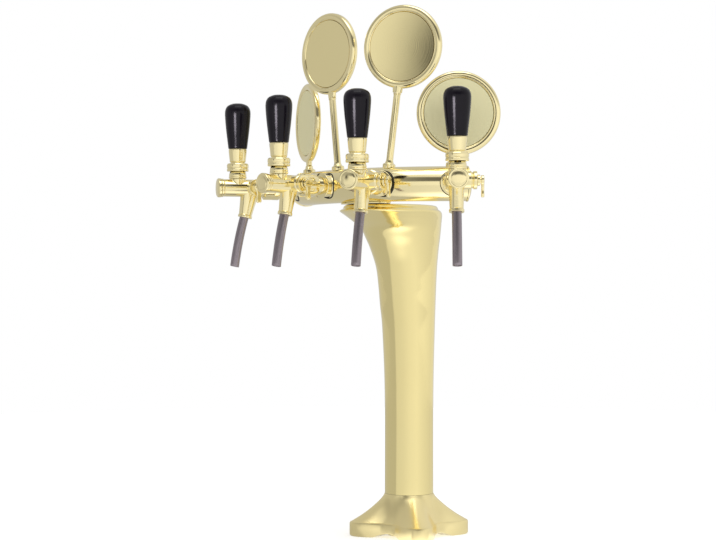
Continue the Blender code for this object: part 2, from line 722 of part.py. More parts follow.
def make_front_cap():
    """The barrel's front cap; +Z of its profile points to the glass."""
    start = BARREL_FRONT + SEAT_GAP
    profile = [
        (0, start + CAP_WIDTH + CAP_DOME),
        (0.7 * CAP_RADIUS, start + CAP_WIDTH + 0.6 * CAP_DOME),
        (CAP_RADIUS, start + 0.8 * CAP_WIDTH),
        (CAP_RADIUS, start),
        (CAP_SPIGOT_RADIUS, start),
        (CAP_SPIGOT_RADIUS, start - CAP_SPIGOT),
        (0, start - CAP_SPIGOT),
    ]
    return finished(turned(profile, sides=ROUND_SIDES, axis="-Y"))


def make_piston():
    """A waisted valve piston with a seal at its rear and a slot for the lever's tip."""
    waist_front = PISTON_SLOT_HALF_LENGTH + PISTON_SEAL_WIDTH / 2
    profile = [
        (0, PISTON_FRONT),
        (PISTON_RADIUS, PISTON_FRONT),
        (PISTON_RADIUS, -waist_front),
        (PISTON_WAIST_RADIUS, -waist_front),
        (PISTON_WAIST_RADIUS, -(PISTON_REAR - PISTON_SEAL_WIDTH / 2)),
        (PISTON_RADIUS, -PISTON_REAR),
        (PISTON_RADIUS, -(PISTON_REAR + PISTON_SEAL_WIDTH / 2)),
        (PISTON_WAIST_RADIUS, -(PISTON_REAR + PISTON_SEAL_WIDTH)),
        (0, -(PISTON_REAR + PISTON_SEAL_WIDTH)),
    ]
    piston = turned(profile, sides=ROUND_SIDES, axis="-Y")
    slot_half_width = LEVER_TIP_RADIUS + RUNNING_GAP
    slot = block(
        (-slot_half_width, -PISTON_SLOT_HALF_LENGTH, -PISTON_SLOT_BOTTOM),
        (slot_half_width, PISTON_SLOT_HALF_LENGTH, PISTON_RADIUS + OVERRUN),
    )
    return finished(cut(piston, slot))


def make_bonnet():
    """A domed nut on the neck that holds the lever's ball, slotted fore and aft; its frame is the pivot's."""
    bottom = NECK_HEIGHT + SEAT_GAP - PIVOT_HEIGHT
    bonnet = cylinder(DOME_RADIUS, bottom, 0)
    dome = cut(ball(DOME_RADIUS, (0, 0, 0)), cylinder(2 * DOME_RADIUS, -2 * DOME_RADIUS, bottom / 2))
    bonnet = join(bonnet, dome)
    cavity_radius = BALL_RADIUS + ROCKING_GAP
    cavity = ball(cavity_radius, (0, 0, 0), sides=PIN_SIDES)
    cavity = join(cavity, cylinder(cavity_radius, bottom - OVERRUN, 0, sides=PIN_SIDES))
    half_width = LEVER_STEM_RADIUS + LEVER_SLOT_SIDE_GAP
    slot = block(
        (-half_width, -DOME_RADIUS - OVERRUN, LEVER_SLOT_BOTTOM),
        (half_width, SLOT_REAR_SHARE * DOME_RADIUS, DOME_RADIUS + OVERRUN),
    )
    return finished(cut(bonnet, cavity, slot))


def make_lever():
    """Ball, stem, drive arm, rocking collar, ferrule and the stud for the knob. Its frame is at the pivot."""
    cup_radius = DOME_RADIUS + ROCKING_GAP
    collar = turned(
        [
            (0, FERRULE_TOP),
            (FERRULE_RADIUS, FERRULE_TOP),
            (FERRULE_LOW_RADIUS, COLLAR_TOP + 0.15 * (FERRULE_TOP - COLLAR_TOP)),
            (FERRULE_LOW_RADIUS, COLLAR_TOP),
            (0.93 * COLLAR_RADIUS, COLLAR_TOP),
            (COLLAR_RADIUS, 0.9 * COLLAR_TOP),
            (COLLAR_RADIUS, COLLAR_BOTTOM),
            (0, COLLAR_BOTTOM),
        ],
        sides=ROUND_SIDES,
    )
    collar = cut(collar, ball(cup_radius, (0, 0, 0), sides=ROUND_SIDES))
    stem = cylinder(LEVER_STEM_RADIUS, 0, COLLAR_TOP, sides=SMALL_SIDES)
    arm = cylinder(LEVER_ARM_RADIUS, -LEVER_ARM, 0, sides=SMALL_SIDES)
    tip = ball(LEVER_TIP_RADIUS, (0, 0, -LEVER_ARM), sides=SMALL_SIDES)
    stud = cylinder(LEVER_STUD_RADIUS, FERRULE_TOP / 2, FERRULE_TOP + LEVER_STUD_HEIGHT, sides=SMALL_SIDES)
    pivot_ball = ball(BALL_RADIUS, (0, 0, 0), sides=PIN_SIDES)
    return finished(join(collar, stem, pivot_ball, arm, tip, stud))


def make_knob():
    """A tapered black grip with a domed top and a threaded blind hole. Its frame is at the pivot."""
    base = FERRULE_TOP + SEAT_GAP
    crown_rise = KNOB_HEIGHT - KNOB_WIDEST_HEIGHT
    profile = [
        (0, base + KNOB_HEIGHT),
        (KNOB_CROWN_RADIUS, base + KNOB_HEIGHT - 0.06 * crown_rise),
        (0.76 * KNOB_RADIUS, base + KNOB_HEIGHT - 0.25 * crown_rise),
        (0.93 * KNOB_RADIUS, base + KNOB_HEIGHT - 0.55 * crown_rise),
        (KNOB_RADIUS, base + KNOB_WIDEST_HEIGHT),
        (KNOB_LOW_RADIUS + 0.62 * (KNOB_RADIUS - KNOB_LOW_RADIUS), base + 0.5 * KNOB_WIDEST_HEIGHT),
        (KNOB_LOW_RADIUS, base + 0.04 * KNOB_HEIGHT),
        (0.93 * KNOB_LOW_RADIUS, base),
        (0, base),
    ]
    knob = turned(profile, sides=ROUND_SIDES)
    hole = cylinder(LEVER_STUD_RADIUS + SEAT_GAP, base - OVERRUN, base + KNOB_HOLE_DEPTH, sides=SMALL_SIDES)
    return finished(cut(knob, hole))


def make_spout():
    """A thin tube; its frame is at its tip, with +Z up its axis."""
    bore = SPOUT_RADIUS - SPOUT_WALL
    profile = [(bore, SPOUT_LENGTH), (SPOUT_RADIUS, SPOUT_LENGTH), (SPOUT_RADIUS, 0), (bore, 0)]
    return finished(turned(profile, sides=ROUND_SIDES))


def make_compensator():
    """A spindle with a disc and a paddle that hangs beside the tap. Its frame is on the spindle's axis."""
    end = COMPENSATOR_BOSS_REACH + RUNNING_GAP
    inner, middle = end - SPINDLE_DEPTH, end + SPINDLE_DISC_WIDTH / 2
    spindle = cylinder(SPINDLE_RADIUS, inner, middle, "X", sides=PIN_SIDES)
    disc = cylinder(SPINDLE_DISC_RADIUS, end, end + SPINDLE_DISC_WIDTH, "X", sides=PIN_SIDES)
    outer = end + SPINDLE_DISC_WIDTH + PADDLE_OFFSET
    hub = cylinder(PADDLE_HALF_BREADTH, end, outer, "X", sides=PIN_SIDES)
    paddle_tip = PADDLE_DROP - PADDLE_HALF_BREADTH
    paddle = block((outer - PADDLE_WIDTH, -PADDLE_HALF_BREADTH, -paddle_tip), (outer, PADDLE_HALF_BREADTH, 0))
    face, low = outer - PADDLE_WIDTH, (0, 0, -paddle_tip)
    tip = cylinder(PADDLE_HALF_BREADTH, face, outer, "X", low, sides=PIN_SIDES)
    head = cylinder(SPINDLE_DISC_RADIUS, face, outer, "X", sides=PIN_SIDES)
    return finished(join(spindle, disc, hub, head, paddle, tip))


def make_medallion():
    """A round holder with a raised band, facing -Y, with a boss below for its stem."""
    inner = MEDALLION_RADIUS - MEDALLION_BAND
    front, back = MEDALLION_DEPTH / 2, -MEDALLION_DEPTH / 2
    recess = front - MEDALLION_RECESS
    profile = [
        (0, recess - FACE_DISH),
        (inner, recess),
        (inner, front - MEDALLION_BEAD),
        (inner + 0.35 * MEDALLION_BAND, front),
        (MEDALLION_RADIUS - 0.30 * MEDALLION_BAND, front - 0.3 * MEDALLION_BEAD),
        (MEDALLION_RADIUS, front - 1.5 * MEDALLION_BEAD),
        (MEDALLION_RADIUS, back),
        (0, back),
    ]
    holder = turned(profile, sides=RING_SIDES, axis="-Y")
    boss_low = -MEDALLION_RADIUS - STEM_BOSS_LENGTH
    boss_high = -MEDALLION_RADIUS + MEDALLION_BAND / 2
    boss = cylinder(STEM_BOSS_RADIUS, boss_low, boss_high, "Z", sides=PIN_SIDES)
    reach, low = STEM_COLLAR_RADIUS, boss_low - OVERRUN
    past_back = block((-reach, -reach, low), (reach, back, 0))
    past_front = block((-reach, front - MEDALLION_BEAD, low), (reach, reach, 0))
    return finished(join(holder, cut(boss, past_back, past_front)))


def make_face():
    """The dished plate in the holder's recess, where a label would go."""
    radius = MEDALLION_RADIUS - MEDALLION_BAND - SEAT_GAP
    seat = MEDALLION_DEPTH / 2 - MEDALLION_RECESS + SEAT_GAP
    profile = [
        (0, seat - FACE_DISH + FACE_THICKNESS),
        (radius, seat + FACE_THICKNESS),
        (radius, seat),
        (0, seat - FACE_DISH),
    ]
    return finished(turned(profile, sides=RING_SIDES, axis="-Y"))


def stem_profile(medallion_height):
    """Half the outline of a rod with a collar at its foot; its frame is at the foot."""
    top = medallion_height - MEDALLION_RADIUS - STEM_BOSS_LENGTH - SEAT_GAP
    return [
        (0, top),
        (STEM_RADIUS, top),
        (STEM_RADIUS, STEM_COLLAR_HEIGHT),
        (STEM_COLLAR_RADIUS, 0.7 * STEM_COLLAR_HEIGHT),
        (STEM_COLLAR_RADIUS, -STEM_SPIGOT_DEPTH / 2),
        (0, -STEM_SPIGOT_DEPTH / 2),
    ]


def stem_mesh(angle, medallion_height, lean):
    """The stem leaned sideways on the manifold, in the frame of the arc's centre turned to its tap."""
    rod = turned(stem_profile(medallion_height), sides=PIN_SIDES)
    rod.matrix_world = Matrix.Translation((0, -ARC_RADIUS, MANIFOLD_RADIUS)) @ Matrix.Rotation(lean, 4, "Y")
    rod = cut(rod, tube_cutter(angle))
    spigot = cylinder(
        STEM_SPIGOT_RADIUS,
        MANIFOLD_RADIUS - STEM_SPIGOT_DEPTH,
        MANIFOLD_RADIUS + STEM_COLLAR_HEIGHT / 2,
        "Z",
        (0, -ARC_RADIUS, 0),
        sides=SMALL_SIDES,
    )
    return finished(join(rod, spigot))


def smooth_route(points):
    """The points with one more between each two, read from a smooth curve through them all."""
    ends = [2 * points[0] - points[1], *points, 2 * points[-1] - points[-2]]
    route = []
    for a, b, c, d in zip(ends, ends[1:], ends[2:], ends[3:]):
        route += [b, (9 * (b + c) - a - d) / 16]
    route.append(points[-1])
    return route


# The lines' places in the manifold: shares of the way to the tap, of the port's setback and of the bore.
INNER_LINE_SHARES = [(0.34, 0.82, 0.10), (0.73, 0.60, 0.20), (1.0, -0.02, 0.04)]
OUTER_LINE_SHARES = [(0.18, 0.82, -0.38), (0.55, 0.82, -0.38), (0.88, 0.60, -0.24), (1.0, -0.02, 0.0)]


def line_route(side, outer_tap):
    """One beer line: from the core, forward under the hood's plate, up the port and along the manifold."""
    x = side * LINE_SPREAD / 2
    y = LINE_SPREAD / 2 * (1 if outer_tap else -1)
    port_x = side * PORT_LINE_PITCH * (1.5 if outer_tap else 0.5)
    port_y = ARC_BACK - ARC_RADIUS + PORT_SETBACK
    tap_angle = side * TAP_SPACING * (1.5 if outer_tap else 0.5)
    bore = MANIFOLD_RADIUS - MANIFOLD_WALL
    rise = COLUMN_TOP - BUNDLE_TOP
    points = [
        Vector((x, y, BUNDLE_TOP - LINE_RADIUS)),
        Vector((x, y, BUNDLE_TOP + LINE_RADIUS)),
        Vector((x, y + 0.28 * (port_y - y), BUNDLE_TOP + 0.46 * rise)),
        Vector((port_x, y + 0.78 * (port_y - y), BUNDLE_TOP + 0.76 * rise)),
        Vector((port_x, port_y, COLUMN_TOP - 1.5 * HOOD_PLATE)),
        Vector((port_x, port_y, MANIFOLD_HEIGHT - (0.68 if outer_tap else 0.55) * bore)),
    ]
    for way_share, back_share, rise_share in OUTER_LINE_SHARES if outer_tap else INNER_LINE_SHARES:
        reach = ARC_RADIUS - back_share * PORT_SETBACK
        points.append(Vector(arc_point(way_share * tap_angle, reach, rise_share * bore)))
    end = SHANK_INNER_REACH - SEAT_GAP
    return points, [Vector(arc_point(tap_angle, end - LINE_RADIUS)), Vector(arc_point(tap_angle, end))]


def make_line_bundle():
    """A foam-wrapped core with the four lines joined to it."""
    core = cylinder(BUNDLE_RADIUS, BUNDLE_BOTTOM, BUNDLE_TOP, sides=ROUND_SIDES)
    lines = []
    for side in (-1, 1):
        for outer_tap in (False, True):
            points, end = line_route(side, outer_tap)
            route = [*smooth_route([*points, end[0]]), end[1]]
            lines.append(bent_tube(route, LINE_RADIUS, SMALL_SIDES))
    for x, y in line_places():
        low, high = BUNDLE_BOTTOM - LINE_TAIL, BUNDLE_BOTTOM + LINE_RADIUS
        lines.append(cylinder(LINE_RADIUS, low, high, "Z", (x, y, 0), sides=SMALL_SIDES))
    return finished(join(core, *lines))


def build_taps(arc_centre):
    """The four taps, each on its own station of the arc."""
    nut, body, cap = make_nut(), make_tap_body(), make_front_cap()
    piston, bonnet, lever, knob = make_piston(), make_bonnet(), make_lever(), make_knob()
    spout, compensator = make_spout(), make_compensator()
    for number, angle in enumerate(tap_angles(), start=1):
        station = frame(f"tap_station_{number}", arc_centre, turn=(0, 0, angle))
        at_tap = (0, -TAP_REACH, 0)
        at_pivot = (0, -TAP_REACH, PIVOT_HEIGHT)
        at_spindle = (0, COMPENSATOR_SETBACK - TAP_REACH, 0)
        tip = (0, spout_axis_y(-SPOUT_TIP_DROP) - TAP_REACH, -SPOUT_TIP_DROP)
        place(f"shank_{number}", make_shank(angle), GOLD, station)
        place(f"coupling_nut_{number}", nut, GOLD, station, at_tap)
        place(f"tap_body_{number}", body, GOLD, station, at_tap)
        place(f"front_cap_{number}", cap, GOLD, station, at_tap)
        place(f"piston_{number}", piston, INNER, station, at_tap)
        place(f"bonnet_{number}", bonnet, GOLD, station, at_pivot)
        place(f"lever_{number}", lever, GOLD, station, at_pivot)
        place(f"grip_{number}", knob, BLACK, station, at_pivot)
        place(f"spout_{number}", spout, STEEL, station, tip, (-SPOUT_LEAN, 0, 0))
        place(f"compensator_{number}", compensator, GOLD, station, at_spindle)


def build_medallions(arc_centre):
    """The four medallion holders: the outer pair low, the inner pair high, all leaning outwards."""
    holder, face = make_medallion(), make_face()
    for number, angle in enumerate(tap_angles(), start=1):
        station = frame(f"medallion_station_{number}", arc_centre, turn=(0, 0, angle))
        lean = MEDALLION_LEAN if angle > 0 else -MEDALLION_LEAN
        height = HIGH_MEDALLION_HEIGHT if abs(angle) < TAP_SPACING else LOW_MEDALLION_HEIGHT
        foot = frame(f"medallion_foot_{number}", station, (0, -ARC_RADIUS, MANIFOLD_RADIUS), (0, lean, 0))
        place(f"stem_{number}", stem_mesh(angle, height, lean), GOLD, station)
        place(f"medallion_{number}", holder, GOLD, foot, (0, 0, height))
        place(f"medallion_face_{number}", face, GOLD, foot, (0, 0, height))


def build_tower():
    place("foot", make_foot(), GOLD)
    place("column", make_column(), GOLD)
    place("saddle", make_saddle(), GOLD)
    place("manifold", make_manifold(), GOLD)
    place("line_bundle", make_line_bundle(), FOAM)
    arc_centre = frame("arc_centre", None, (0, ARC_BACK, MANIFOLD_HEIGHT))
    cap = make_end_cap()
    for name, side in (("end_cap_left", -1), ("end_cap_right", 1)):
        x, y, z = arc_point(side * MANIFOLD_HALF_ANGLE)
        last_stretch_angle = MANIFOLD_HALF_ANGLE * (1 - 1 / ARC_STEPS)
        station = frame(f"{name}_station", None, (x, y, z), (0, 0, side * last_stretch_angle))
        place(name, cap, GOLD, station, (0, 0, 0), (0, side * math.radians(90), 0))
    build_taps(arc_centre)
    build_medallions(arc_centre)


build_tower()
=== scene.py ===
"""The looks of the four-tap beer tower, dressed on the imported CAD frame.

Metres, +Z up, and the taps face -Y. Every piece is worked out in the frame of its own part, such as a tap, and its
place then goes into its mesh, so that each object sits at the origin."""

import json
import math
from collections import namedtuple

import bpy
import numpy as np
from mathutils import Matrix, Vector

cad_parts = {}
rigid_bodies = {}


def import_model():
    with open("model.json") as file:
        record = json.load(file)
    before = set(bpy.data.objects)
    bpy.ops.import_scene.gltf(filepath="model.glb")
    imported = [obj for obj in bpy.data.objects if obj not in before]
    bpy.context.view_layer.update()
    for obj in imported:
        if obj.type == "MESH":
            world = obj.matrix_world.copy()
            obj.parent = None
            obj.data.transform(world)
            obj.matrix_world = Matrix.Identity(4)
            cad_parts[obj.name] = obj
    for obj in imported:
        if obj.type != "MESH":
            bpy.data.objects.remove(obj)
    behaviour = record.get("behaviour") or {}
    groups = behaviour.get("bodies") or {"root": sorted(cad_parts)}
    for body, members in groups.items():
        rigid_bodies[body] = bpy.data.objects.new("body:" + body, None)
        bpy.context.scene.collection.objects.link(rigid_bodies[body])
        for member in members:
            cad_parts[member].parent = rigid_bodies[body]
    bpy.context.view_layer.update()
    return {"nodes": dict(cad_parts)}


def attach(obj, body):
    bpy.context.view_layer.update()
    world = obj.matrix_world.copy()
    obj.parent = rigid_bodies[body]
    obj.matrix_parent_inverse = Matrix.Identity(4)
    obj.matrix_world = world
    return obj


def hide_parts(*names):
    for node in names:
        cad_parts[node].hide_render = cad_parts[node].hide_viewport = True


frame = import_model()

# Fits and how finely the surfaces are drawn.
SEAT_GAP = 0.0003
RUNNING_GAP = 0.0005
ROCKING_GAP = 0.0009
SHARP_ANGLE = math.radians(38)
BIG_COLUMNS = 144
ROUND_COLUMNS = 72
SMALL_COLUMNS = 40
CURVE_STEPS = 6
CORNER_STEPS = 3
ROUND_STEPS = 5
HOLE_COLUMNS = 24
BORE_COLUMNS = 48
TUBE_COLUMNS = 96
ARC_ROWS = 121
BALL_ROWS = 18
PLATE_ROWS = 24
EDGE = 0.0006
CORNER_LIMIT_SHARE = 0.45
TINY = 1e-9
POLE_SHARE = 0.02

# Foot.
FOOT_CORNER_REACH = 0.084
FOOT_SIDE_REACH = 0.052
FOOT_EDGE_HEIGHT = 0.020
FOOT_HEIGHT = 0.058
FOOT_EDGE_ROUND = 0.003
FOOT_ARCH_HEIGHT = 0.006
FOOT_ARCH_HALF_WIDTH = 0.022
FOOT_HUB_RADIUS = 0.030
FOOT_SPIGOT_HEIGHT = 0.060
FOOT_CORNER_POWER = 3.1
LINE_HOLE_RADIUS = 0.0040
LINE_HALF_SPREAD = 0.00575
STUD_HOLE_RADIUS = 0.0042
STUD_HOLE_DEPTH = 0.014
STUD_HOLE_REACH = 0.062
FOOT_SLOPE_SHARES = [(0.0, 0.0), (0.22, 0.30), (0.45, 0.56), (0.68, 0.78), (0.86, 0.925), (1.0, 1.0)]
FOOT_SIDE_HASTE = 1.35
FOOT_ARCH_SHARES = (0.0, 0.35, 0.7, 1.0)
FOOT_ROUND_SHARE = 0.3

# Column: shares of the rise above the foot, and of the flare at the sides, at the front and at the back.
COLUMN_RADIUS = 0.034
COLUMN_WALL = 0.0045
COLUMN_TOP = 0.4580
COLUMN_TOP_ROUND = 0.0050
HOOD_HALF_WIDTH = 0.063
HOOD_REACH = 0.126
HOOD_BACK = 0.042
HOOD_PLATE = 0.005
COLUMN_FLARE_SHARES = [
    (0.0, 0.0, 0.0, 0.0), (0.35, 0.0, 0.0, 0.0), (0.577, 0.088, 0.044, 0.19),
    (0.664, 0.154, 0.093, 0.27), (0.73, 0.20, 0.126, 0.38), (0.80, 0.27, 0.181, 0.54),
    (0.863, 0.414, 0.307, 0.75), (0.90, 0.53, 0.406, 0.92), (0.933, 0.64, 0.51, 1.0),
    (0.96, 0.795, 0.725, 1.0), (0.9776, 0.925, 0.88, 0.90), (0.991, 1.0, 1.0, 0.50),
    (1.0, 0.885, 0.93, -0.3),
]

# Manifold.
ARC_BACK = 0.087
ARC_RADIUS = 0.200
MANIFOLD_RADIUS = 0.023
MANIFOLD_WALL = 0.0016
MANIFOLD_HEIGHT = 0.483
MANIFOLD_HALF_ANGLE = math.radians(42.0)
TAP_SPACING = math.radians(24.5)
SADDLE_HALF_LENGTH = 0.040
SADDLE_HALF_WIDTH = 0.0170
SADDLE_SETBACK = 0.010
SADDLE_HEIGHT = 0.0095
SADDLE_TOP_SHARES = (1.0, 0.985, 0.95, *np.linspace(0.9, 0.05, 18))
END_CAP_RIM = 0.0025
END_CAP_DOME = 0.0045
END_CAP_SPIGOT = 0.0035
END_CAP_GROOVE_SHARES = [(0.93, 0.10), (0.91, 0.06)]
END_CAP_DOME_SHARES = [(0.90, 0.16), (0.72, 0.55), (0.45, 0.86), (0.20, 0.97), (0.01, 1.0)]

# Shank and coupling nut.
SHANK_RADIUS = 0.0109
SHANK_BORE_RADIUS = 0.0045
SHANK_INNER_REACH = 0.208
THREAD_PITCH = 0.0015
THREAD_DEPTH = 0.0007
THREAD_ROWS = 6
BOSS_RADIUS = 0.0150
BOSS_FILLET = 0.0016
BOSS_FRONT_REACH = 0.233
BOSS_LIP_RADIUS = 0.0172
BOSS_LIP_WIDTH = 0.004
GASKET_SECTION = 0.0009
GASKET_ROWS = 10
NUT_RADIUS = 0.0160
NUT_CHAMFER = 0.0015
NUT_LENGTH = 0.0205
NUT_NOTCHES = 6
NUT_NOTCH_HALF_WIDTH = 0.0026
NUT_NOTCH_DEPTH = 0.0019
NUT_NOTCH_LENGTH_SHARE = 0.62
NUT_NOTCH_ROWS = 8

# Tap body.
TAP_REACH = 0.303
BARREL_RADIUS = 0.012
BARREL_FRONT = 0.024
BARREL_REAR = 0.038
BARREL_BORE_RADIUS = 0.0076
BARREL_BORE_REAR = 0.0225
SEAT_BORE_RADIUS = 0.0048
BARREL_BEAD = 0.0007
BARREL_BEAD_LENGTH = 0.0030
BARREL_GROOVE_END = 0.0036
BARREL_GROOVE_RUN_OUT = 0.0052
REAR_FLANGE_RADIUS = 0.014
REAR_FLANGE_WIDTH = 0.003
NECK_RADIUS = 0.0113
NECK_HEIGHT = 0.013
NECK_BORE_RADIUS = 0.0083
NECK_FLARE = 0.003
NECK_RING_SHARE = 0.72
FUNNEL_HALF_LENGTH = 0.0140
FUNNEL_HALF_WIDTH = 0.0105
FUNNEL_REAR_SHIFT = 0.0185
FUNNEL_SWELL_POWER = 1.5
FUNNEL_LENGTH_POWER = 0.9
FUNNEL_TOP_SHARE = 0.06
FUNNEL_ROWS = 22
SOCKET_RADIUS = 0.0088
SOCKET_DROP = 0.037
SOCKET_LIP_RADIUS = 0.0098
SOCKET_LIP_HEIGHT = 0.0042
COMPENSATOR_SETBACK = 0.022
COMPENSATOR_BOSS_RADIUS = 0.0115
COMPENSATOR_BOSS_REACH = 0.0265
COMPENSATOR_BOSS_SHARES = [(1.0, 0.62), (1.0, 0.72), (0.88, 0.76), (0.88, 0.80), (1.0, 0.84), (1.0, 1.0)]
SPINDLE_RADIUS = 0.0045
SPINDLE_DEPTH = 0.015
SPINDLE_DISC_RADIUS = 0.0072
SPINDLE_DISC_WIDTH = 0.0035
PADDLE_WIDTH = 0.0042
PADDLE_HALF_BREADTH = 0.0038
PADDLE_OFFSET = 0.0055
PADDLE_SQUARENESS = 0.6
DISC_HEAD_SHARE = 0.88
# Rows of the paddle: height, half breadth and share of the width.
PADDLE_ROWS = [
    (0.004, 0.0045, 1.0),
    (0.0, 0.0052, 1.0),
    (-0.0066, 0.0036, 0.92),
    (-0.0121, 0.0030, 0.88),
    (-0.0176, 0.0036, 0.95),
    (-0.02046, 0.0034, 0.95),
    (-0.02167, 0.0018, 0.7),
]
CAP_RADIUS = 0.0132
CAP_WIDTH = 0.0045
CAP_DOME = 0.0012
CAP_SPIGOT_SHARE = 0.6
CAP_RIM_SHARES = [(0.93, 0.0), (0.80, 0.0), (0.76, -0.10), (0.70, 0.0)]
CAP_DOME_SHARES = [(0.60, 0.42), (0.40, 0.76), (0.20, 0.94), (0.02, 1.0)]

# Spout.
SPOUT_LEAN = math.radians(12.0)
SPOUT_RADIUS = 0.00625
SPOUT_WALL = 0.0014
SPOUT_LENGTH = 0.082
SPOUT_TIP_DROP = 0.109
SPOUT_TIP_FORWARD = 0.0045
SPOUT_BOW = 0.0016
SPOUT_ROWS = 30
SPOUT_COLUMNS = 48

# Handle.
PIVOT_HEIGHT = 0.017
BALL_RADIUS = 0.0077
DOME_RADIUS = 0.012
COLLAR_RADIUS = 0.015
COLLAR_BOTTOM = 0.006
COLLAR_TOP = 0.017
BONNET_LIP_HEIGHT = 0.0022
BONNET_GROOVE_HEIGHT = 0.0028
BONNET_SKIRT_SHARES = [0.4, 1.03, 1.03, 0.985]
SLOT_REAR_SHARE = 0.62
THROAT_SHARE = 0.999
DOME_ROWS = 16
CUP_ROWS = 12
CUP_TOP = math.radians(70)
LEVER_STEM_RADIUS = 0.004
LEVER_SLOT_SIDE_GAP = 0.0004
LEVER_SLOT_BOTTOM = 0.0036
FERRULE_LOW_RADIUS = 0.0112
FERRULE_RADIUS = 0.0126
FERRULE_TOP = 0.037
# Shares of the radius, and heights from the ferrule's top, the collar's top and the collar's bottom.
FERRULE_SHARES = [(0.97, 0), (1.0, -0.0012), (0.985, -0.0045)]
WAIST_SHARES = [(1.0, 0.0040), (1.0, 0.0022), (0.90, 0.0016), (0.90, 0)]
SHOULDER_SHARES = [(0.90, 0), (1.0, -0.0018)]
COLLAR_SHARES = [(1.0, 0.0052), (0.965, 0.0046), (0.965, 0.0036), (1.0, 0.0030), (1.0, 0)]
LEVER_ARM = 0.014
LEVER_ARM_RADIUS = 0.0019
LEVER_TIP_RADIUS = 0.0028
LEVER_STUD_RADIUS = 0.004
LEVER_STUD_HEIGHT = 0.020
KNOB_HEIGHT = 0.063
KNOB_LOW_RADIUS = 0.0132
KNOB_RADIUS = 0.0178
KNOB_WIDEST_HEIGHT = 0.049
KNOB_CROWN_RADIUS = 0.0085
KNOB_HOLE_DEPTH = 0.022
KNOB_FOOT_ROUND = 0.0008
KNOB_FLANK_SHARES = [(0.28, 0.25), (0.60, 0.5), (0.88, 0.78), (1.0, 1.0)]
KNOB_SHOULDER_SHARES = [(0.95, 0.42), (0.79, 0.74)]
KNOB_CROWN_SHARES = [(1.0, 0.94), (0.5, 0.99), (0.03, 1.0)]

# Medallion holders.
MEDALLION_LEAN = math.radians(7.0)
MEDALLION_RADIUS = 0.0555
MEDALLION_DEPTH = 0.0085
MEDALLION_BAND = 0.0095
MEDALLION_BEAD = 0.0018
MEDALLION_RECESS = 0.003
MEDALLION_EDGE = 0.0010
RECESS_MIDDLE_RADIUS = 0.02
# Shares of the band outwards from the recess and of the bead down from the front; then of the radius and the bead.
MEDALLION_FRONT_SHARES = [
    (0, 1.1), (0.12, 0.35), (0.22, 0.55), (0.28, 0.30), (0.50, 0), (0.75, 0.20), (0.93, 0.95), (1.0, 2.0)
]
MEDALLION_BACK_SHARES = [(1.0, 0.6), (0.985, 0), (0.93, 0), (0.92, 0.35), (0.60, 0.35), (0.28, 0.20)]
FACE_THICKNESS = 0.0012
FACE_DISH = 0.0011
LOW_MEDALLION_HEIGHT = 0.0710
HIGH_MEDALLION_HEIGHT = 0.1605
STEM_BOSS_RADIUS = 0.0068
STEM_BOSS_LENGTH = 0.006
STEM_BOSS_DEPTH_SHARE = 0.46
STEM_BOSS_SHARES = [0.86, 0.97, 1.0, 1.06, 1.1]
STEM_RADIUS = 0.0046
STEM_COLLAR_RADIUS = 0.0085
STEM_COLLAR_HEIGHT = 0.007
STEM_FOOT_DEPTH = 0.004
STEM_COLLAR_SHARES = [(1.0, 0.50), (0.88, 0.62), (0.70, 0.70)]
STEM_EDGE = 0.0009
STEM_RING_SHARE = 1.14
STEM_RING_LENGTH = 0.0016
STEM_RING_RUN_OUT = 0.0022

# Camera: level, at the photograph's bearing, with its frame of 716 x 540.
CAMERA_AZIMUTH = math.radians(36.4)
CAMERA_DISTANCE = 2.318
CAMERA_OFFSET = -0.0714
CAMERA_HEIGHT = 0.364
CAMERA_LENS = 83.3
CAMERA_SHIFT = 0.0053
SENSOR_WIDTH = 36.0

# Studio: levels of light, 1 being white.
FLOOR_RADIUS = 2.2
FLOOR_WHITE, FLOOR_IN_METAL = (0.86, 0.86, 0.86, 1), (0.08, 0.08, 0.08, 1)
# The floor's glows: white for the camera, and for glossy rays a painted reflection of the walls and a painted bright
# patch in front of the tower.
FLOOR_GLOW = 0.47
FLOOR_PAINTED_WALL_GLOW = 0.85
PAINTED_PATCH_GLOW = 0.7
STUDIO_SHINE = 1.04
# The walls by azimuth, from 0 behind the tower through 0.5 in front of it.
WALL_STOPS = [
    (0.0, 0.76), (0.08, 0.58), (0.418, 0.54), (0.430, 0.78), (0.525, 0.84),
    (0.603, 0.94), (0.697, 1.0), (0.80, 0.89), (0.917, 0.78), (1.0, 0.76),
]
BAND_STOPS = [(0.0, 0.0), (0.19, 0.0), (0.27, 1.0), (0.62, 1.0), (0.74, 0.0), (1.0, 0.0)]
BAND_DEPTH, FLAG_DEPTH = 0.85, 0.95
# Middle and width of each hump of light: azimuths, a height's sine, and a squared distance along the floor.
BAND_AZIMUTH = math.radians(35), math.radians(48)
FLAG_AZIMUTH = math.radians(-16.5), math.radians(4)
PAINTED_PATCH_AZIMUTH = math.radians(45), math.radians(32)
FLAG_RISE, PAINTED_PATCH_REACH = (0.16, 0.09), (0.02, 0.09)
# Lamps: place, width, height and power.
LAMP_TARGET = (0, -0.05, 0.45)
SOFTBOX = (0.3, -0.5, 2.6), 1.6, 1.2, 9.0
KNOB_STRIP = (0.40, -2.15, 0.50), 0.60, 0.50, 20.0
KNOB_STRIP_COLOUR = (0.96, 0.88, 1.0)

Shell = namedtuple("Shell", "points faces grain")


# Places.


def shift(x, y, z):
    return np.array(Matrix.Translation((x, y, z)))


def turn(angle, axis):
    return np.array(Matrix.Rotation(angle, 4, axis))


def station(angle):
    """The frame of the manifold's arc centre, turned to the tap at angle."""
    return shift(0, ARC_BACK, MANIFOLD_HEIGHT) @ turn(angle, "Z")


def tap_place(angle):
    return station(angle) @ shift(0, -TAP_REACH, 0)


def pivot_place(angle):
    return tap_place(angle) @ shift(0, 0, PIVOT_HEIGHT)


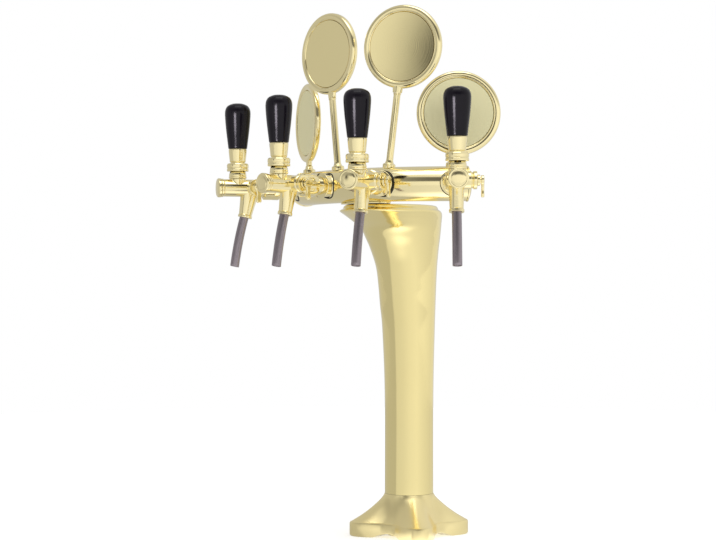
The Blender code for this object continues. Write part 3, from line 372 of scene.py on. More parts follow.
def medallion_foot(angle):
    lean = MEDALLION_LEAN if angle > 0 else -MEDALLION_LEAN
    return station(angle) @ shift(0, -ARC_RADIUS, MANIFOLD_RADIUS) @ turn(lean, "Y")


def medallion_height(angle):
    return HIGH_MEDALLION_HEIGHT if abs(angle) < TAP_SPACING else LOW_MEDALLION_HEIGHT


FRONTWARD = turn(math.radians(90), "X")
SIDEWARD = turn(math.radians(90), "Y")
TAP_ANGLES = [TAP_SPACING * (number - 1.5) for number in range(4)]


# Surfaces.


def circle(columns):
    """The angles round a circle."""
    return np.arange(columns) * math.tau / columns


def rings(profile, columns=ROUND_COLUMNS):
    """Circles about Z, one to each (radius, height), either of which may vary round the circle."""
    a = circle(columns)
    return np.array([np.stack([r * np.cos(a), r * np.sin(a), h + 0 * a], -1) for r, h in profile])


def ahead(rows):
    """Rows about Z turned about X, to lie about -Y."""
    return np.stack([rows[..., 0], -rows[..., 2], rows[..., 1]], -1)


def scaled(shares, across, along, out=0.0, start=0.0):
    """Profile points at shares of two sizes, from a radius and a height."""
    return [(out + x * across, start + z * along) for x, z in shares]


def softened(profile, reach=EDGE, steps=CORNER_STEPS, loop=False):
    """A profile with each corner rounded: a parabola from a point reach before the corner to one reach after it,
    with the corner as its control point, and reach never over a set share of the side."""
    points = np.asarray(profile, float)
    before, after = np.roll(points, 1, 0) - points, np.roll(points, -1, 0) - points
    share_before = np.minimum(reach / np.linalg.norm(before, axis=1).clip(TINY), CORNER_LIMIT_SHARE)[:, None]
    share_after = np.minimum(reach / np.linalg.norm(after, axis=1).clip(TINY), CORNER_LIMIT_SHARE)[:, None]
    start, end = points + before * share_before, points + after * share_after
    t = np.linspace(0, 1, steps + 1)[None, :, None]
    arcs = start[:, None] * (1 - t) ** 2 + points[:, None] * 2 * t * (1 - t) + end[:, None] * t**2
    if loop:
        return arcs.reshape(-1, 2)
    return np.vstack([points[:1], arcs[1:-1].reshape(-1, 2), points[-1:]])


def smooth(points, steps=CURVE_STEPS):
    """A Catmull-Rom curve through points of any number of values, steps to each stretch."""
    points = np.asarray(points, float)
    held = np.vstack([2 * points[:1] - points[1:2], points, 2 * points[-1:] - points[-2:-1]])
    a, b, c, d = (held[i : len(held) - 3 + i, None] for i in range(4))
    t = (np.arange(steps) / steps)[None, :, None]
    curve = (2 * b + (c - a) * t + (2 * a - 5 * b + 4 * c - d) * t**2 + (3 * b - a - 3 * c + d) * t**3) / 2
    return np.vstack([curve.reshape(-1, points.shape[1]), points[-1:]])


def corners(points, face):
    return [points[face[:, i]] for i in range(face.shape[1])]


def volume(points, faces):
    """The signed volume under the faces, as a sum over the triangles of each face's fan."""
    total = 0.0
    for group in faces:
        first, *others = corners(points, group)
        for second, third in zip(others, others[1:]):
            total += np.einsum("ij,ij->", first, np.cross(second, third)) / 6
    return total


def surface(grid, first=None, last=None, loop=False, lengthwise=False):
    """A closed skin on a grid of points whose columns wrap round. In a loop the rows wrap too; otherwise a fan to a
    point, the row's own middle if none is given, closes each end. The faces point outwards. The grain is the way
    along the rows, or round them where the polishing runs lengthwise."""
    rows, columns = grid.shape[:2]
    index = np.arange(rows * columns).reshape(rows, columns)
    lower = index if loop else index[:-1]
    upper = np.roll(index, -1, axis=0) if loop else index[1:]
    faces = [np.stack([lower, np.roll(lower, -1, 1), np.roll(upper, -1, 1), upper], axis=-1).reshape(-1, 4)]
    steps = np.linalg.norm(np.diff(grid, axis=int(lengthwise)), axis=-1)
    grain = np.cumsum(np.insert(steps, 0, 0, axis=int(lengthwise)), axis=int(lengthwise)).ravel()
    points = grid.reshape(-1, 3)
    if not loop:
        ends = [grid[0].mean(0) if first is None else first, grid[-1].mean(0) if last is None else last]
        points = np.vstack([points, ends])
        grain = np.append(grain, [grain[0], grain[-1]])
        low, high = index[0], index[-1]
        bottom = np.stack([np.roll(low, -1), low, np.full(columns, rows * columns)], axis=-1)
        top = np.stack([high, np.roll(high, -1), np.full(columns, rows * columns + 1)], axis=-1)
        faces.append(np.vstack([bottom, top]))
    if volume(points, faces) < 0:
        faces = [group[:, ::-1] for group in faces]
    return Shell(points, faces, grain)


def revolved(profile, columns=ROUND_COLUMNS, lengthwise=False):
    """A profile of (radius, height) points turned about Z: a point goes to (r cos a, r sin a, h). A profile that
    starts and ends on the axis makes a solid, and one that stays off it makes a ring."""
    profile = np.asarray(profile, float)
    if profile[:, 0].min() > 0:
        return surface(rings(profile, columns), loop=True, lengthwise=lengthwise)
    ends = [(0, 0, height) for height in profile[[0, -1], 1]]
    return surface(rings(profile[1:-1], columns), *ends, lengthwise=lengthwise)


def round_ball(radius, columns=SMALL_COLUMNS, rows=BALL_ROWS):
    """A sphere: the profile is half a circle."""
    a = np.linspace(0, math.pi, rows)
    return revolved(np.stack([radius * np.sin(a), radius * np.cos(a)], -1).round(9), columns)


def rod(radius, low, high, columns=SMALL_COLUMNS, edge=EDGE / 2):
    """A cylinder with softened edges."""
    return revolved(softened([(0, low), (radius, low), (radius, high), (0, high)], edge), columns)


def placed(shell, place):
    """The shell taken to another frame."""
    return Shell(shell.points @ place[:3, :3].T + place[:3, 3], shell.faces, shell.grain)


def mesh_of(*shells):
    """One mesh of the shells, with their grain, smooth but for its sharp edges."""
    starts = np.cumsum([0] + [len(shell.points) for shell in shells])
    faces = [
        face for shell, start in zip(shells, starts) for group in shell.faces for face in (group + start).tolist()
    ]
    mesh = bpy.data.meshes.new("piece")
    mesh.from_pydata(np.vstack([shell.points for shell in shells]).tolist(), [], faces)
    grain = mesh.attributes.new("grain", "FLOAT", "POINT")
    grain.data.foreach_set("value", np.concatenate([shell.grain for shell in shells]).astype(np.float32))
    mesh.shade_smooth()
    mesh.set_sharp_from_angle(angle=SHARP_ANGLE)
    return mesh


def added(name, data):
    """A new object of the scene, at the origin."""
    made = bpy.data.objects.new(name, data)
    bpy.context.scene.collection.objects.link(made)
    return made


def carved(shell, *cutters):
    """The shell with the cutters taken out of it."""
    block = added("block", mesh_of(shell))
    tools = [added("tool", mesh_of(cutter)) for cutter in cutters]
    for tool in tools:
        step = block.modifiers.new("carve", "BOOLEAN")
        step.operation, step.solver, step.object = "DIFFERENCE", "EXACT", tool
    bpy.context.view_layer.update()
    mesh = bpy.data.meshes.new_from_object(block.evaluated_get(bpy.context.evaluated_depsgraph_get()))
    for used in (block, *tools):
        bpy.data.objects.remove(used)
    points = np.zeros(len(mesh.vertices) * 3)
    mesh.vertices.foreach_get("co", points)
    grain = np.zeros(len(mesh.vertices))
    if "grain" in mesh.attributes:
        mesh.attributes["grain"].data.foreach_get("value", grain)
    by_count = {}
    for polygon in mesh.polygons:
        by_count.setdefault(len(polygon.vertices), []).append(list(polygon.vertices))
    return Shell(points.reshape(-1, 3), [np.array(group) for group in by_count.values()], grain)


def box_shell(low, high):
    """A plain box, only to cut with: two rings of four corners."""
    (x0, y0, z0), (x1, y1, z1) = low, high
    ring = [(x0, y0), (x1, y0), (x1, y1), (x0, y1)]
    return surface(np.array([[(*corner, z) for corner in ring] for z in (z0, z1)]))


def piece(name, mesh, finish, body, place=None, replaces=()):
    """A named piece of the tower on its CAD body, with its place in its mesh."""
    mesh = mesh.copy()
    if place is not None:
        mesh.transform(Matrix(place.tolist()))
    mesh.materials.clear()
    mesh.materials.append(finish)
    made = added(name, mesh)
    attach(made, body)
    if replaces:
        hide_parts(*replaces)


# Finishes.


class Socket:
    """A shader value. Arithmetic on it adds Math nodes."""

    def __init__(self, finish, socket):
        self.finish, self.socket = finish, socket

    def math(self, operation, first, second):
        return self.finish.node("ShaderNodeMath", {"operation": operation}, {0: first, 1: second})

    def __add__(self, other):
        return self.math("ADD", self, other)

    def __sub__(self, other):
        return self.math("SUBTRACT", self, other)

    def __rsub__(self, other):
        return self.math("SUBTRACT", other, self)

    def __mul__(self, other):
        return self.math("MULTIPLY", self, other)

    def __truediv__(self, other):
        return self.math("DIVIDE", self, other)

    def __pow__(self, other):
        return self.math("POWER", self, other)

    __radd__, __rmul__ = __add__, __mul__


class Finish:
    """A material or world under construction."""

    def __init__(self, tree):
        self.tree = tree

    def feed(self, socket, value):
        if isinstance(value, Socket):
            self.tree.links.new(value.socket, socket)
        else:
            socket.default_value = value

    def coat(self, shader, **values):
        """Feeds a shader's inputs, named with _ for each space."""
        for name, value in values.items():
            self.feed(shader.inputs[name.replace("_", " ")], value)

    def node(self, kind, settings=None, inputs=None, output=0):
        """A node: its settings are set first, then its sockets get values or links."""
        made = self.tree.nodes.new(kind)
        for name, value in (settings or {}).items():
            if name == "stops":
                for element, (position, level) in zip(self.ramp_elements(made, len(value)), value):
                    element.position, element.color = position, (level, level, level, 1)
            else:
                setattr(made, name, value)
        for name, value in (inputs or {}).items():
            self.feed(made.inputs[name], value)
        return Socket(self, made.outputs[output])

    def ramp_elements(self, ramp, count):
        elements = ramp.color_ramp.elements
        while len(elements) < count:
            elements.new(1.0)
        return elements

    def parts(self, vector):
        """The x, y and z of a vector."""
        made = self.tree.nodes.new("ShaderNodeSeparateXYZ")
        self.feed(made.inputs[0], vector)
        return [Socket(self, output) for output in made.outputs]

    def noise(self, vector, scale, detail=2.0):
        return self.node("ShaderNodeTexNoise", None, {"Vector": vector, "Scale": scale, "Detail": detail})

    def lines(self, scale, detail=3.0):
        """Noise along one value, the piece's own grain: fine lines that run with the polishing."""
        grain = self.node("ShaderNodeAttribute", {"attribute_name": "grain"}, output="Fac")
        return self.node(
            "ShaderNodeTexNoise", {"noise_dimensions": "1D"}, {"W": grain, "Scale": scale, "Detail": detail}
        )

    def blend(self, share, first, second):
        """A colour between two."""
        return self.node("ShaderNodeMix", {"data_type": "RGBA"}, {0: share, 6: first, 7: second}, output=2)

    def bump(self, height, strength, distance):
        return self.node("ShaderNodeBump", None, {"Height": height, "Strength": strength, "Distance": distance})


def material(name):
    """A new material with its Principled shader, and the Object coordinates of the piece."""
    made = bpy.data.materials.new(name)
    made.use_nodes = True
    finish = Finish(made.node_tree)
    shader = made.node_tree.nodes["Principled BSDF"]
    return made, finish, shader, finish.node("ShaderNodeTexCoord", output="Object")


def gold(name, colour, deep_colour, roughness, line_scale, waviness):
    """Polished and lacquered metal: clouded a little, with fine polishing lines and faint ripples."""
    made, finish, shader, place = material(name)
    clouds = finish.noise(place, 11.0, 3.0)
    smears = finish.noise(place, 46.0, 4.0)
    lines = finish.lines(line_scale)
    finish.coat(
        shader,
        Base_Color=finish.blend(clouds * 0.7 + lines * 0.3, colour, deep_colour),
        Roughness=roughness + (smears - 0.5) * 0.05 + (lines - 0.5) * 0.06,
        Metallic=1.0,
        Normal=finish.bump(lines * 0.25 + smears * 0.2 + clouds * waviness, 0.08, 0.0008),
    )
    return made


def grip_plastic():
    """Black moulded plastic with a soft gloss, a faint orange peel and rubbed patches."""
    made, finish, shader, place = material("moulded_black")
    peel = finish.noise(place, 420.0, 2.0)
    rubbed = finish.noise(place, 38.0, 3.0)
    finish.coat(
        shader,
        Base_Color=finish.blend(rubbed, (0.004, 0.003, 0.005, 1), (0.009, 0.007, 0.011, 1)),
        Roughness=0.12 + rubbed * 0.10,
        Specular_IOR_Level=0.2,
        Normal=finish.bump(peel, 0.10, 0.0003),
    )
    return made


def spout_metal():
    """Dull steel, drawn lengthwise, with a slight stain."""
    made, finish, shader, place = material("drawn_steel")
    stain = finish.noise(place, 60.0, 4.0)
    lines = finish.lines(2200.0)
    finish.coat(
        shader,
        Base_Color=finish.blend(stain * 0.6 + lines * 0.4, (0.40, 0.35, 0.375, 1), (0.29, 0.25, 0.27, 1)),
        Metallic=1.0,
        Roughness=0.24 + lines * 0.12,
        Normal=finish.bump(lines, 0.12, 0.0002),
    )
    return made


def dull(name, colour, other_colour, roughness, scale, relief):
    """A matt moulded or foamed finish with a fine pebble."""
    made, finish, shader, place = material(name)
    pebble = finish.noise(place, scale, 4.0)
    patches = finish.noise(place, scale / 12, 2.0)
    finish.coat(
        shader,
        Base_Color=finish.blend(patches, colour, other_colour),
        Roughness=roughness + (pebble - 0.5) * 0.1,
        Normal=finish.bump(pebble, relief, 0.0006),
    )
    return made


GOLD_COLOUR, DEEP_GOLD = (0.985, 0.850, 0.425, 1), (0.965, 0.815, 0.385, 1)
column_gold = gold("column_gold", GOLD_COLOUR, DEEP_GOLD, 0.075, 900.0, 0.2)
foot_gold = gold("foot_gold", (0.980, 0.845, 0.450, 1), (0.955, 0.805, 0.400, 1), 0.30, 900.0, 0.5)
turned_gold = gold("turned_gold", (0.985, 0.870, 0.510, 1), (0.965, 0.835, 0.455, 1), 0.075, 2600.0, 0.1)
plate_gold = gold("plate_gold", (0.985, 0.865, 0.475, 1), (0.970, 0.835, 0.435, 1), 0.10, 700.0, 0.05)
# The outer plates' gold is rougher, as a satin finish, and also a paler, brighter copy of the plate gold: its extra
# brightness is painted light.
satin_plate_gold_painted_bright = gold("satin_plate_gold_painted_bright", (1.0, 0.950, 0.600, 1), (1.0, 0.930, 0.560, 1), 0.45, 700.0, 0.05)
black = grip_plastic()
steel = spout_metal()
valve = dull("valve_white", (0.80, 0.80, 0.78, 1), (0.70, 0.70, 0.67, 1), 0.45, 300.0, 0.1)
foam = dull("line_foam_black", (0.025, 0.025, 0.028, 1), (0.045, 0.045, 0.050, 1), 0.85, 700.0, 0.6)
rubber = dull("gasket_rubber", (0.012, 0.012, 0.013, 1), (0.022, 0.022, 0.024, 1), 0.55, 500.0, 0.2)


# Foot, column and manifold.


def foot_ring(radius_at_side, radius_at_corner, height, columns=BIG_COLUMNS):
    """A four-cornered ring: its reach goes from the side's to the corner's as a power of |sin 2a|."""
    a = circle(columns)
    reach = radius_at_side + (radius_at_corner - radius_at_side) * np.abs(np.sin(2 * a)) ** FOOT_CORNER_POWER
    return np.stack([reach * np.cos(a), reach * np.sin(a), height + 0 * a], axis=-1)


def arch_rise(x, y):
    """How high the underside stands over a point: the higher of two round arches, along X and along Y."""
    radius = (FOOT_ARCH_HALF_WIDTH**2 + FOOT_ARCH_HEIGHT**2) / (2 * FOOT_ARCH_HEIGHT)
    rises = [np.sqrt((radius**2 - across**2).clip(0)) - radius + FOOT_ARCH_HEIGHT for across in (x, y)]
    return np.maximum(*rises).clip(0)


def foot_mesh():
    """Rows of four-cornered rings from the hub, out under the arches, round the edge, and up a hollow slope to the
    column's seat and the spigot inside it."""
    edge = FOOT_EDGE_ROUND
    rows = [foot_ring(r, r, 0) for r in (0.5 * FOOT_HUB_RADIUS, FOOT_HUB_RADIUS)]
    for share in FOOT_ARCH_SHARES:
        side = FOOT_HUB_RADIUS + share * (FOOT_SIDE_REACH - edge / 2 - FOOT_HUB_RADIUS)
        corner = FOOT_HUB_RADIUS + share * (FOOT_CORNER_REACH - edge / 2 - FOOT_HUB_RADIUS)
        rows.append(foot_ring(side, corner, 0))
    rows = np.array(rows)
    rows[2:, :, 2] = arch_rise(rows[2:, :, 0], rows[2:, :, 1])
    low_edge = foot_ring(FOOT_SIDE_REACH, FOOT_CORNER_REACH, 0)
    low_edge[:, 2] = arch_rise(low_edge[:, 0], low_edge[:, 1]) + edge / 2
    slope = smooth(FOOT_SLOPE_SHARES)
    up = [low_edge, foot_ring(FOOT_SIDE_REACH, FOOT_CORNER_REACH, FOOT_EDGE_HEIGHT - edge)]
    step = FOOT_ROUND_SHARE * edge
    up.append(foot_ring(FOOT_SIDE_REACH - step, FOOT_CORNER_REACH - step, FOOT_EDGE_HEIGHT - step))
    corner, side = FOOT_CORNER_REACH - edge, FOOT_SIDE_REACH - edge
    for height_share, reach_share in slope:
        height = FOOT_EDGE_HEIGHT + height_share * (FOOT_HEIGHT - FOOT_EDGE_HEIGHT)
        haste = 1 - (1 - reach_share) ** FOOT_SIDE_HASTE
        side_reach = side + haste * (COLUMN_RADIUS - side)
        corner_reach = corner + reach_share * (COLUMN_RADIUS - corner)
        up.append(foot_ring(side_reach, corner_reach, height))
    spigot = COLUMN_RADIUS - COLUMN_WALL - SEAT_GAP
    top = FOOT_HEIGHT + FOOT_SPIGOT_HEIGHT
    up += [foot_ring(spigot, spigot, FOOT_HEIGHT), foot_ring(spigot, spigot, top - EDGE)]
    up.append(foot_ring(spigot - EDGE, spigot - EDGE, top))
    foot = surface(np.concatenate([rows, np.array(up)]))
    holes = [
        placed(rod(LINE_HOLE_RADIUS, -EDGE, top + EDGE, HOLE_COLUMNS), shift(x, y, 0))
        for x in (-LINE_HALF_SPREAD, LINE_HALF_SPREAD)
        for y in (-LINE_HALF_SPREAD, LINE_HALF_SPREAD)
    ]
    for quarter in range(4):
        place = turn(math.radians(45 + 90 * quarter), "Z") @ shift(STUD_HOLE_REACH, 0, 0)
        holes.append(placed(rod(STUD_HOLE_RADIUS, -EDGE, STUD_HOLE_DEPTH, HOLE_COLUMNS), place))
    return mesh_of(carved(foot, *holes))


def column_rings(shares, inset, low, high):
    """Oval rings of the column: half width, front and back follow the flare's shares, less the inset."""
    rise, side, front, back = (shares[:, i : i + 1] for i in range(4))
    half_width = COLUMN_RADIUS + side * (HOOD_HALF_WIDTH - COLUMN_RADIUS) - inset
    front = COLUMN_RADIUS + front * (HOOD_REACH - COLUMN_RADIUS) - inset
    back = COLUMN_RADIUS + back * (HOOD_BACK - COLUMN_RADIUS) - inset
    a = circle(BIG_COLUMNS)
    y = (back - front) / 2 + (back + front) / 2 * np.sin(a)
    return np.stack([half_width * np.cos(a), y, low + rise * (high - low) + 0 * a], axis=-1)


def column_mesh():
    """A shell of oval rings: up the outside, over the hood's softened edge, and down the inside."""
    bottom, shoulder = FOOT_HEIGHT + SEAT_GAP, COLUMN_TOP - COLUMN_TOP_ROUND
    shares = smooth(COLUMN_FLARE_SHARES)
    outer = column_rings(shares, 0, bottom, shoulder)
    rim = []
    for t in np.linspace(0, math.pi / 2, ROUND_STEPS)[1:]:
        inset, drop = COLUMN_TOP_ROUND * (1 - math.cos(t)), COLUMN_TOP_ROUND * (1 - math.sin(t))
        rim.append(column_rings(shares[-1:], inset, 0, COLUMN_TOP - drop))
    inner_shares = smooth(COLUMN_FLARE_SHARES[:-2])[::-1]
    inner = column_rings(inner_shares, COLUMN_WALL, bottom, COLUMN_TOP)
    inner[:, :, 2] = np.minimum(inner[:, :, 2], COLUMN_TOP - HOOD_PLATE)
    middle = outer[-1].mean(0)
    top_middle, under_middle = middle + (0, 0, COLUMN_TOP_ROUND), middle.copy()
    under_middle[2] = COLUMN_TOP - HOOD_PLATE
    skin = np.concatenate([outer, *rim, (rim[-1] - top_middle) * POLE_SHARE + top_middle])
    lining = np.concatenate([(inner[:1] - under_middle) * POLE_SHARE + under_middle, inner])
    return mesh_of(surface(np.concatenate([skin, lining]), loop=True, lengthwise=True))


def saddle_mesh():
    """An oval block whose top follows the underside of the tube: the top's height over a point is the tube's axis
    less the root of radius squared minus the distance from the arc squared, and at most the block's own height."""
    bottom = COLUMN_TOP + SEAT_GAP
    centre_y = ARC_BACK - ARC_RADIUS + SADDLE_SETBACK
    a = circle(BIG_COLUMNS)

    def ring(share, height):
        x, y = share * SADDLE_HALF_LENGTH * np.cos(a), centre_y + share * SADDLE_HALF_WIDTH * np.sin(a)
        return np.stack([x, y, height + 0 * a], axis=-1)

    def top_height(ring_points):
        off_arc = np.hypot(ring_points[:, 0], ring_points[:, 1] - ARC_BACK) - ARC_RADIUS
        tube = MANIFOLD_HEIGHT - np.sqrt(((MANIFOLD_RADIUS + SEAT_GAP) ** 2 - off_arc**2).clip(0))
        return np.minimum(tube, bottom + SADDLE_HEIGHT)

    rows = [ring(0.985, bottom), ring(1.0, bottom + EDGE)]
    for share in SADDLE_TOP_SHARES:
        row = ring(share, 0)
        row[:, 2] = top_height(row) - (EDGE if share == 1.0 else 0)
        rows.append(row)
    return mesh_of(surface(np.array(rows)))


def tube_point(angle, around, radius):
    """A point on a tube bent to the manifold's arc."""
    reach = ARC_RADIUS + radius * np.cos(around)
    height = MANIFOLD_HEIGHT + radius * np.sin(around) + 0 * angle
    return np.stack([reach * np.sin(angle), ARC_BACK - reach * np.cos(angle), height], -1)


def manifold_mesh():
    """A tube bent to an arc: out along its outside and back along its bore."""
    angles = np.linspace(-MANIFOLD_HALF_ANGLE, MANIFOLD_HALF_ANGLE, ARC_ROWS)[:, None]
    around = circle(TUBE_COLUMNS)[None, :]
    outside = tube_point(angles, around, MANIFOLD_RADIUS)
    bore = tube_point(angles[::-1], around, MANIFOLD_RADIUS - MANIFOLD_WALL)
    return mesh_of(surface(np.concatenate([outside, bore]), loop=True, lengthwise=True))


def end_cap_mesh():
    """A domed cap with a bead round its rim; +Z points out of the tube."""
    outer = MANIFOLD_RADIUS + MANIFOLD_WALL / 2
    spigot = MANIFOLD_RADIUS - MANIFOLD_WALL - SEAT_GAP
    rim = [(spigot, -END_CAP_SPIGOT), (spigot, SEAT_GAP), (outer, SEAT_GAP), (outer, END_CAP_RIM)]
    rim = softened(rim + scaled(END_CAP_GROOVE_SHARES, outer, END_CAP_DOME, start=END_CAP_RIM))
    dome = smooth(scaled(END_CAP_DOME_SHARES, outer, END_CAP_DOME, start=END_CAP_RIM))
    profile = np.vstack([[(0, -END_CAP_SPIGOT)], rim, dome, [(0, END_CAP_RIM + END_CAP_DOME)]])
    return mesh_of(revolved(profile))


# Shank, gasket and nut: the frame of the arc's centre, turned to the tap; the taps' side is -Y.


def tube_reach(x, z, radius=MANIFOLD_RADIUS):
    """How far from the arc's centre the front of the tube stands, over a point beside and above the tap's axis."""
    return np.sqrt((ARC_RADIUS + np.sqrt((radius**2 - z**2).clip(0))) ** 2 - x**2)


def boss_row(radius, lift, columns=ROUND_COLUMNS):
    """A ring round the tap's axis that lies on the tube, lifted off it."""
    a = circle(columns)
    x, z = radius * np.cos(a), radius * np.sin(a)
    return np.stack([x, -tube_reach(x, z) - lift, z], axis=-1)


def shank_mesh():
    """A boss that grows out of the tube in a fillet, a lip, and the threaded shank: the thread's crest climbs one
    pitch a turn, so its radius is a wave of the height less the angle's share of the pitch."""
    rows = [
        boss_row(BOSS_RADIUS + BOSS_FILLET * (1 - math.sin(t)), BOSS_FILLET * (1 - math.cos(t)) - SEAT_GAP)
        for t in np.linspace(0, math.pi / 2, ROUND_STEPS)
    ]
    reach, width = BOSS_FRONT_REACH, BOSS_LIP_WIDTH
    lip = softened(
        [
            (BOSS_RADIUS, reach - width - EDGE),
            (BOSS_RADIUS, reach - width),
            (BOSS_LIP_RADIUS, reach - 0.75 * width),
            (BOSS_LIP_RADIUS, reach - 0.4 * width),
            (0.82 * BOSS_RADIUS, reach),
            (0.74 * BOSS_RADIUS, reach - 0.25 * width),
            (SHANK_RADIUS, reach - 0.25 * width),
        ]
    )
    front = TAP_REACH - BARREL_REAR - REAR_FLANGE_WIDTH - SEAT_GAP
    turns = np.arange(reach + EDGE, front - EDGE, THREAD_PITCH / THREAD_ROWS)[:, None]
    wave = 0.5 + 0.5 * np.cos(math.tau * turns / THREAD_PITCH - circle(ROUND_COLUMNS))
    thread = list(zip(SHANK_RADIUS - THREAD_DEPTH * wave, turns))
    bore = [(SHANK_RADIUS - THREAD_DEPTH, front), (SHANK_BORE_RADIUS, front), (SHANK_BORE_RADIUS, SHANK_INNER_REACH)]
    return mesh_of(surface(np.concatenate([rows, ahead(rings([*lip, *thread, *bore]))]), loop=True))


def gasket_mesh():
    """A rubber ring squeezed between boss and tube: a small circle carried round the boss on the tube's surface."""
    a, b = circle(ROUND_COLUMNS)[None, :], circle(GASKET_ROWS)[:, None]
    middle = BOSS_RADIUS + BOSS_FILLET
    radius = middle + GASKET_SECTION * np.cos(b)
    reach = tube_reach(middle * np.cos(a), middle * np.sin(a)) + GASKET_SECTION * np.sin(b)
    grid = np.stack([radius * np.cos(a), -reach, radius * np.sin(a)], axis=-1)
    return mesh_of(surface(grid, loop=True))


def nut_mesh():
    """A round nut with spanner notches: over its front two thirds the radius dips where the angle is near a notch."""
    front, back = -(BARREL_REAR - 2 * SEAT_GAP - NUT_CHAMFER), -(BARREL_REAR + NUT_LENGTH)
    flange_front, flange_back = -BARREL_REAR, -(BARREL_REAR + REAR_FLANGE_WIDTH)
    hook, recess, thread = BARREL_RADIUS + SEAT_GAP, REAR_FLANGE_RADIUS + SEAT_GAP, SHANK_RADIUS + SEAT_GAP
    notch_end = front + (back - front) * NUT_NOTCH_LENGTH_SHARE
    off_notch = (circle(BIG_COLUMNS) * NUT_NOTCHES / math.tau) % 1 - 0.5
    off_notch = off_notch * math.tau / NUT_NOTCHES * NUT_RADIUS
    depth = NUT_NOTCH_DEPTH * np.sqrt((1 - (off_notch / NUT_NOTCH_HALF_WIDTH) ** 2).clip(0))
    face = (NUT_RADIUS - NUT_CHAMFER) - depth * 0.6
    grid = [(hook, front), (hook + (face - hook) * 0.5, front), (face, front)]
    grid += [(NUT_RADIUS - depth, height) for height in np.linspace(front - NUT_CHAMFER, notch_end, NUT_NOTCH_ROWS)]
    grid += [(NUT_RADIUS, notch_end - EDGE), (NUT_RADIUS, back + NUT_CHAMFER)]
    grid += scaled([(-0.3, 0.4), (-1.0, 0.0)], NUT_CHAMFER, NUT_CHAMFER, NUT_RADIUS, back)
    grid += [(thread, back), (thread, flange_back - SEAT_GAP), (recess, flange_back - SEAT_GAP)]
    grid += [(recess, flange_front + SEAT_GAP), (hook, flange_front + SEAT_GAP)]
    return mesh_of(placed(surface(rings(grid, BIG_COLUMNS), loop=True), FRONTWARD))


# Tap body: its frame has its origin on the barrel's axis under the handle, and the glass is at -Y.


def spout_axis_y(height):
    return -SPOUT_TIP_FORWARD + (height + SPOUT_TIP_DROP) * math.tan(SPOUT_LEAN)


def spout_place(height):
    return shift(0, spout_axis_y(height), height) @ turn(-SPOUT_LEAN, "X")


def barrel_shell():
    """A bored barrel with a bead at its front and the flange that the nut draws in."""
    flange = BARREL_REAR + REAR_FLANGE_WIDTH
    bead = BARREL_RADIUS + BARREL_BEAD
    profile = [
        (BARREL_BORE_RADIUS, BARREL_FRONT),
        (bead, BARREL_FRONT),
        (bead, BARREL_FRONT - BARREL_BEAD_LENGTH),
        (BARREL_RADIUS - 0.3 * BARREL_BEAD, BARREL_FRONT - BARREL_GROOVE_END),
        (BARREL_RADIUS, BARREL_FRONT - BARREL_GROOVE_RUN_OUT),
        (BARREL_RADIUS, -BARREL_REAR),
        (REAR_FLANGE_RADIUS, -BARREL_REAR),
        (REAR_FLANGE_RADIUS, -flange),
        (SEAT_BORE_RADIUS, -flange),
        (SEAT_BORE_RADIUS, -BARREL_BORE_REAR),
        (BARREL_BORE_RADIUS, -BARREL_BORE_REAR),
    ]
    barrel = placed(revolved(softened(profile, loop=True)), FRONTWARD)
    return carved(barrel, rod(NECK_BORE_RADIUS, 0, NECK_HEIGHT, BORE_COLUMNS))


def neck_shell():
    """A hollow neck that flares into the barrel: its lowest ring lies on the barrel, at the root of the barrel's
    radius squared less x squared, and is wider fore and aft."""
    a = circle(ROUND_COLUMNS)
    rows = []
    for t in np.linspace(0, math.pi / 2, ROUND_STEPS + 1)[:-1]:
        x, y = NECK_RADIUS * np.cos(a), (NECK_RADIUS + NECK_FLARE * (1 - math.sin(t))) * np.sin(a)
        on_barrel = np.sqrt((BARREL_RADIUS**2 - x**2).clip(0)) - SEAT_GAP / 2
        z = on_barrel + NECK_FLARE * (1 - math.cos(t)) * (1 - on_barrel / NECK_HEIGHT)
        rows.append(np.stack([x, y, z], -1))
    outside = [(NECK_RADIUS, NECK_RING_SHARE * NECK_HEIGHT), (NECK_RADIUS, NECK_HEIGHT)]
    inside = [(NECK_BORE_RADIUS, NECK_HEIGHT), (NECK_BORE_RADIUS, BARREL_BORE_RADIUS)]
    (radius, height), *top = softened(outside + inside, EDGE / 2)
    above = rings([(radius, np.maximum(height, rows[-1][:, 2])), *top])
    return surface(np.concatenate([rows, above]), loop=True)


def compensator_boss_shell():
    """A bored side boss: its first ring lies on the barrel, the rest are turned about X."""
    a = circle(ROUND_COLUMNS)
    y, z = COMPENSATOR_BOSS_RADIUS * np.cos(a), COMPENSATOR_BOSS_RADIUS * np.sin(a)
    root = np.stack([np.sqrt((BARREL_RADIUS**2 - z**2).clip(0)) - SEAT_GAP, COMPENSATOR_SETBACK + y, z], -1)
    bore, end = SPINDLE_RADIUS + RUNNING_GAP, COMPENSATOR_BOSS_REACH
    profile = scaled(COMPENSATOR_BOSS_SHARES, COMPENSATOR_BOSS_RADIUS, end) + [(bore, end), (bore, end - SPINDLE_DEPTH)]
    rows = [np.stack([x + 0 * a, COMPENSATOR_SETBACK + r * np.cos(a), r * np.sin(a)], -1) for r, x in softened(profile)]
    return surface(np.array([root, *rows]), loop=True)


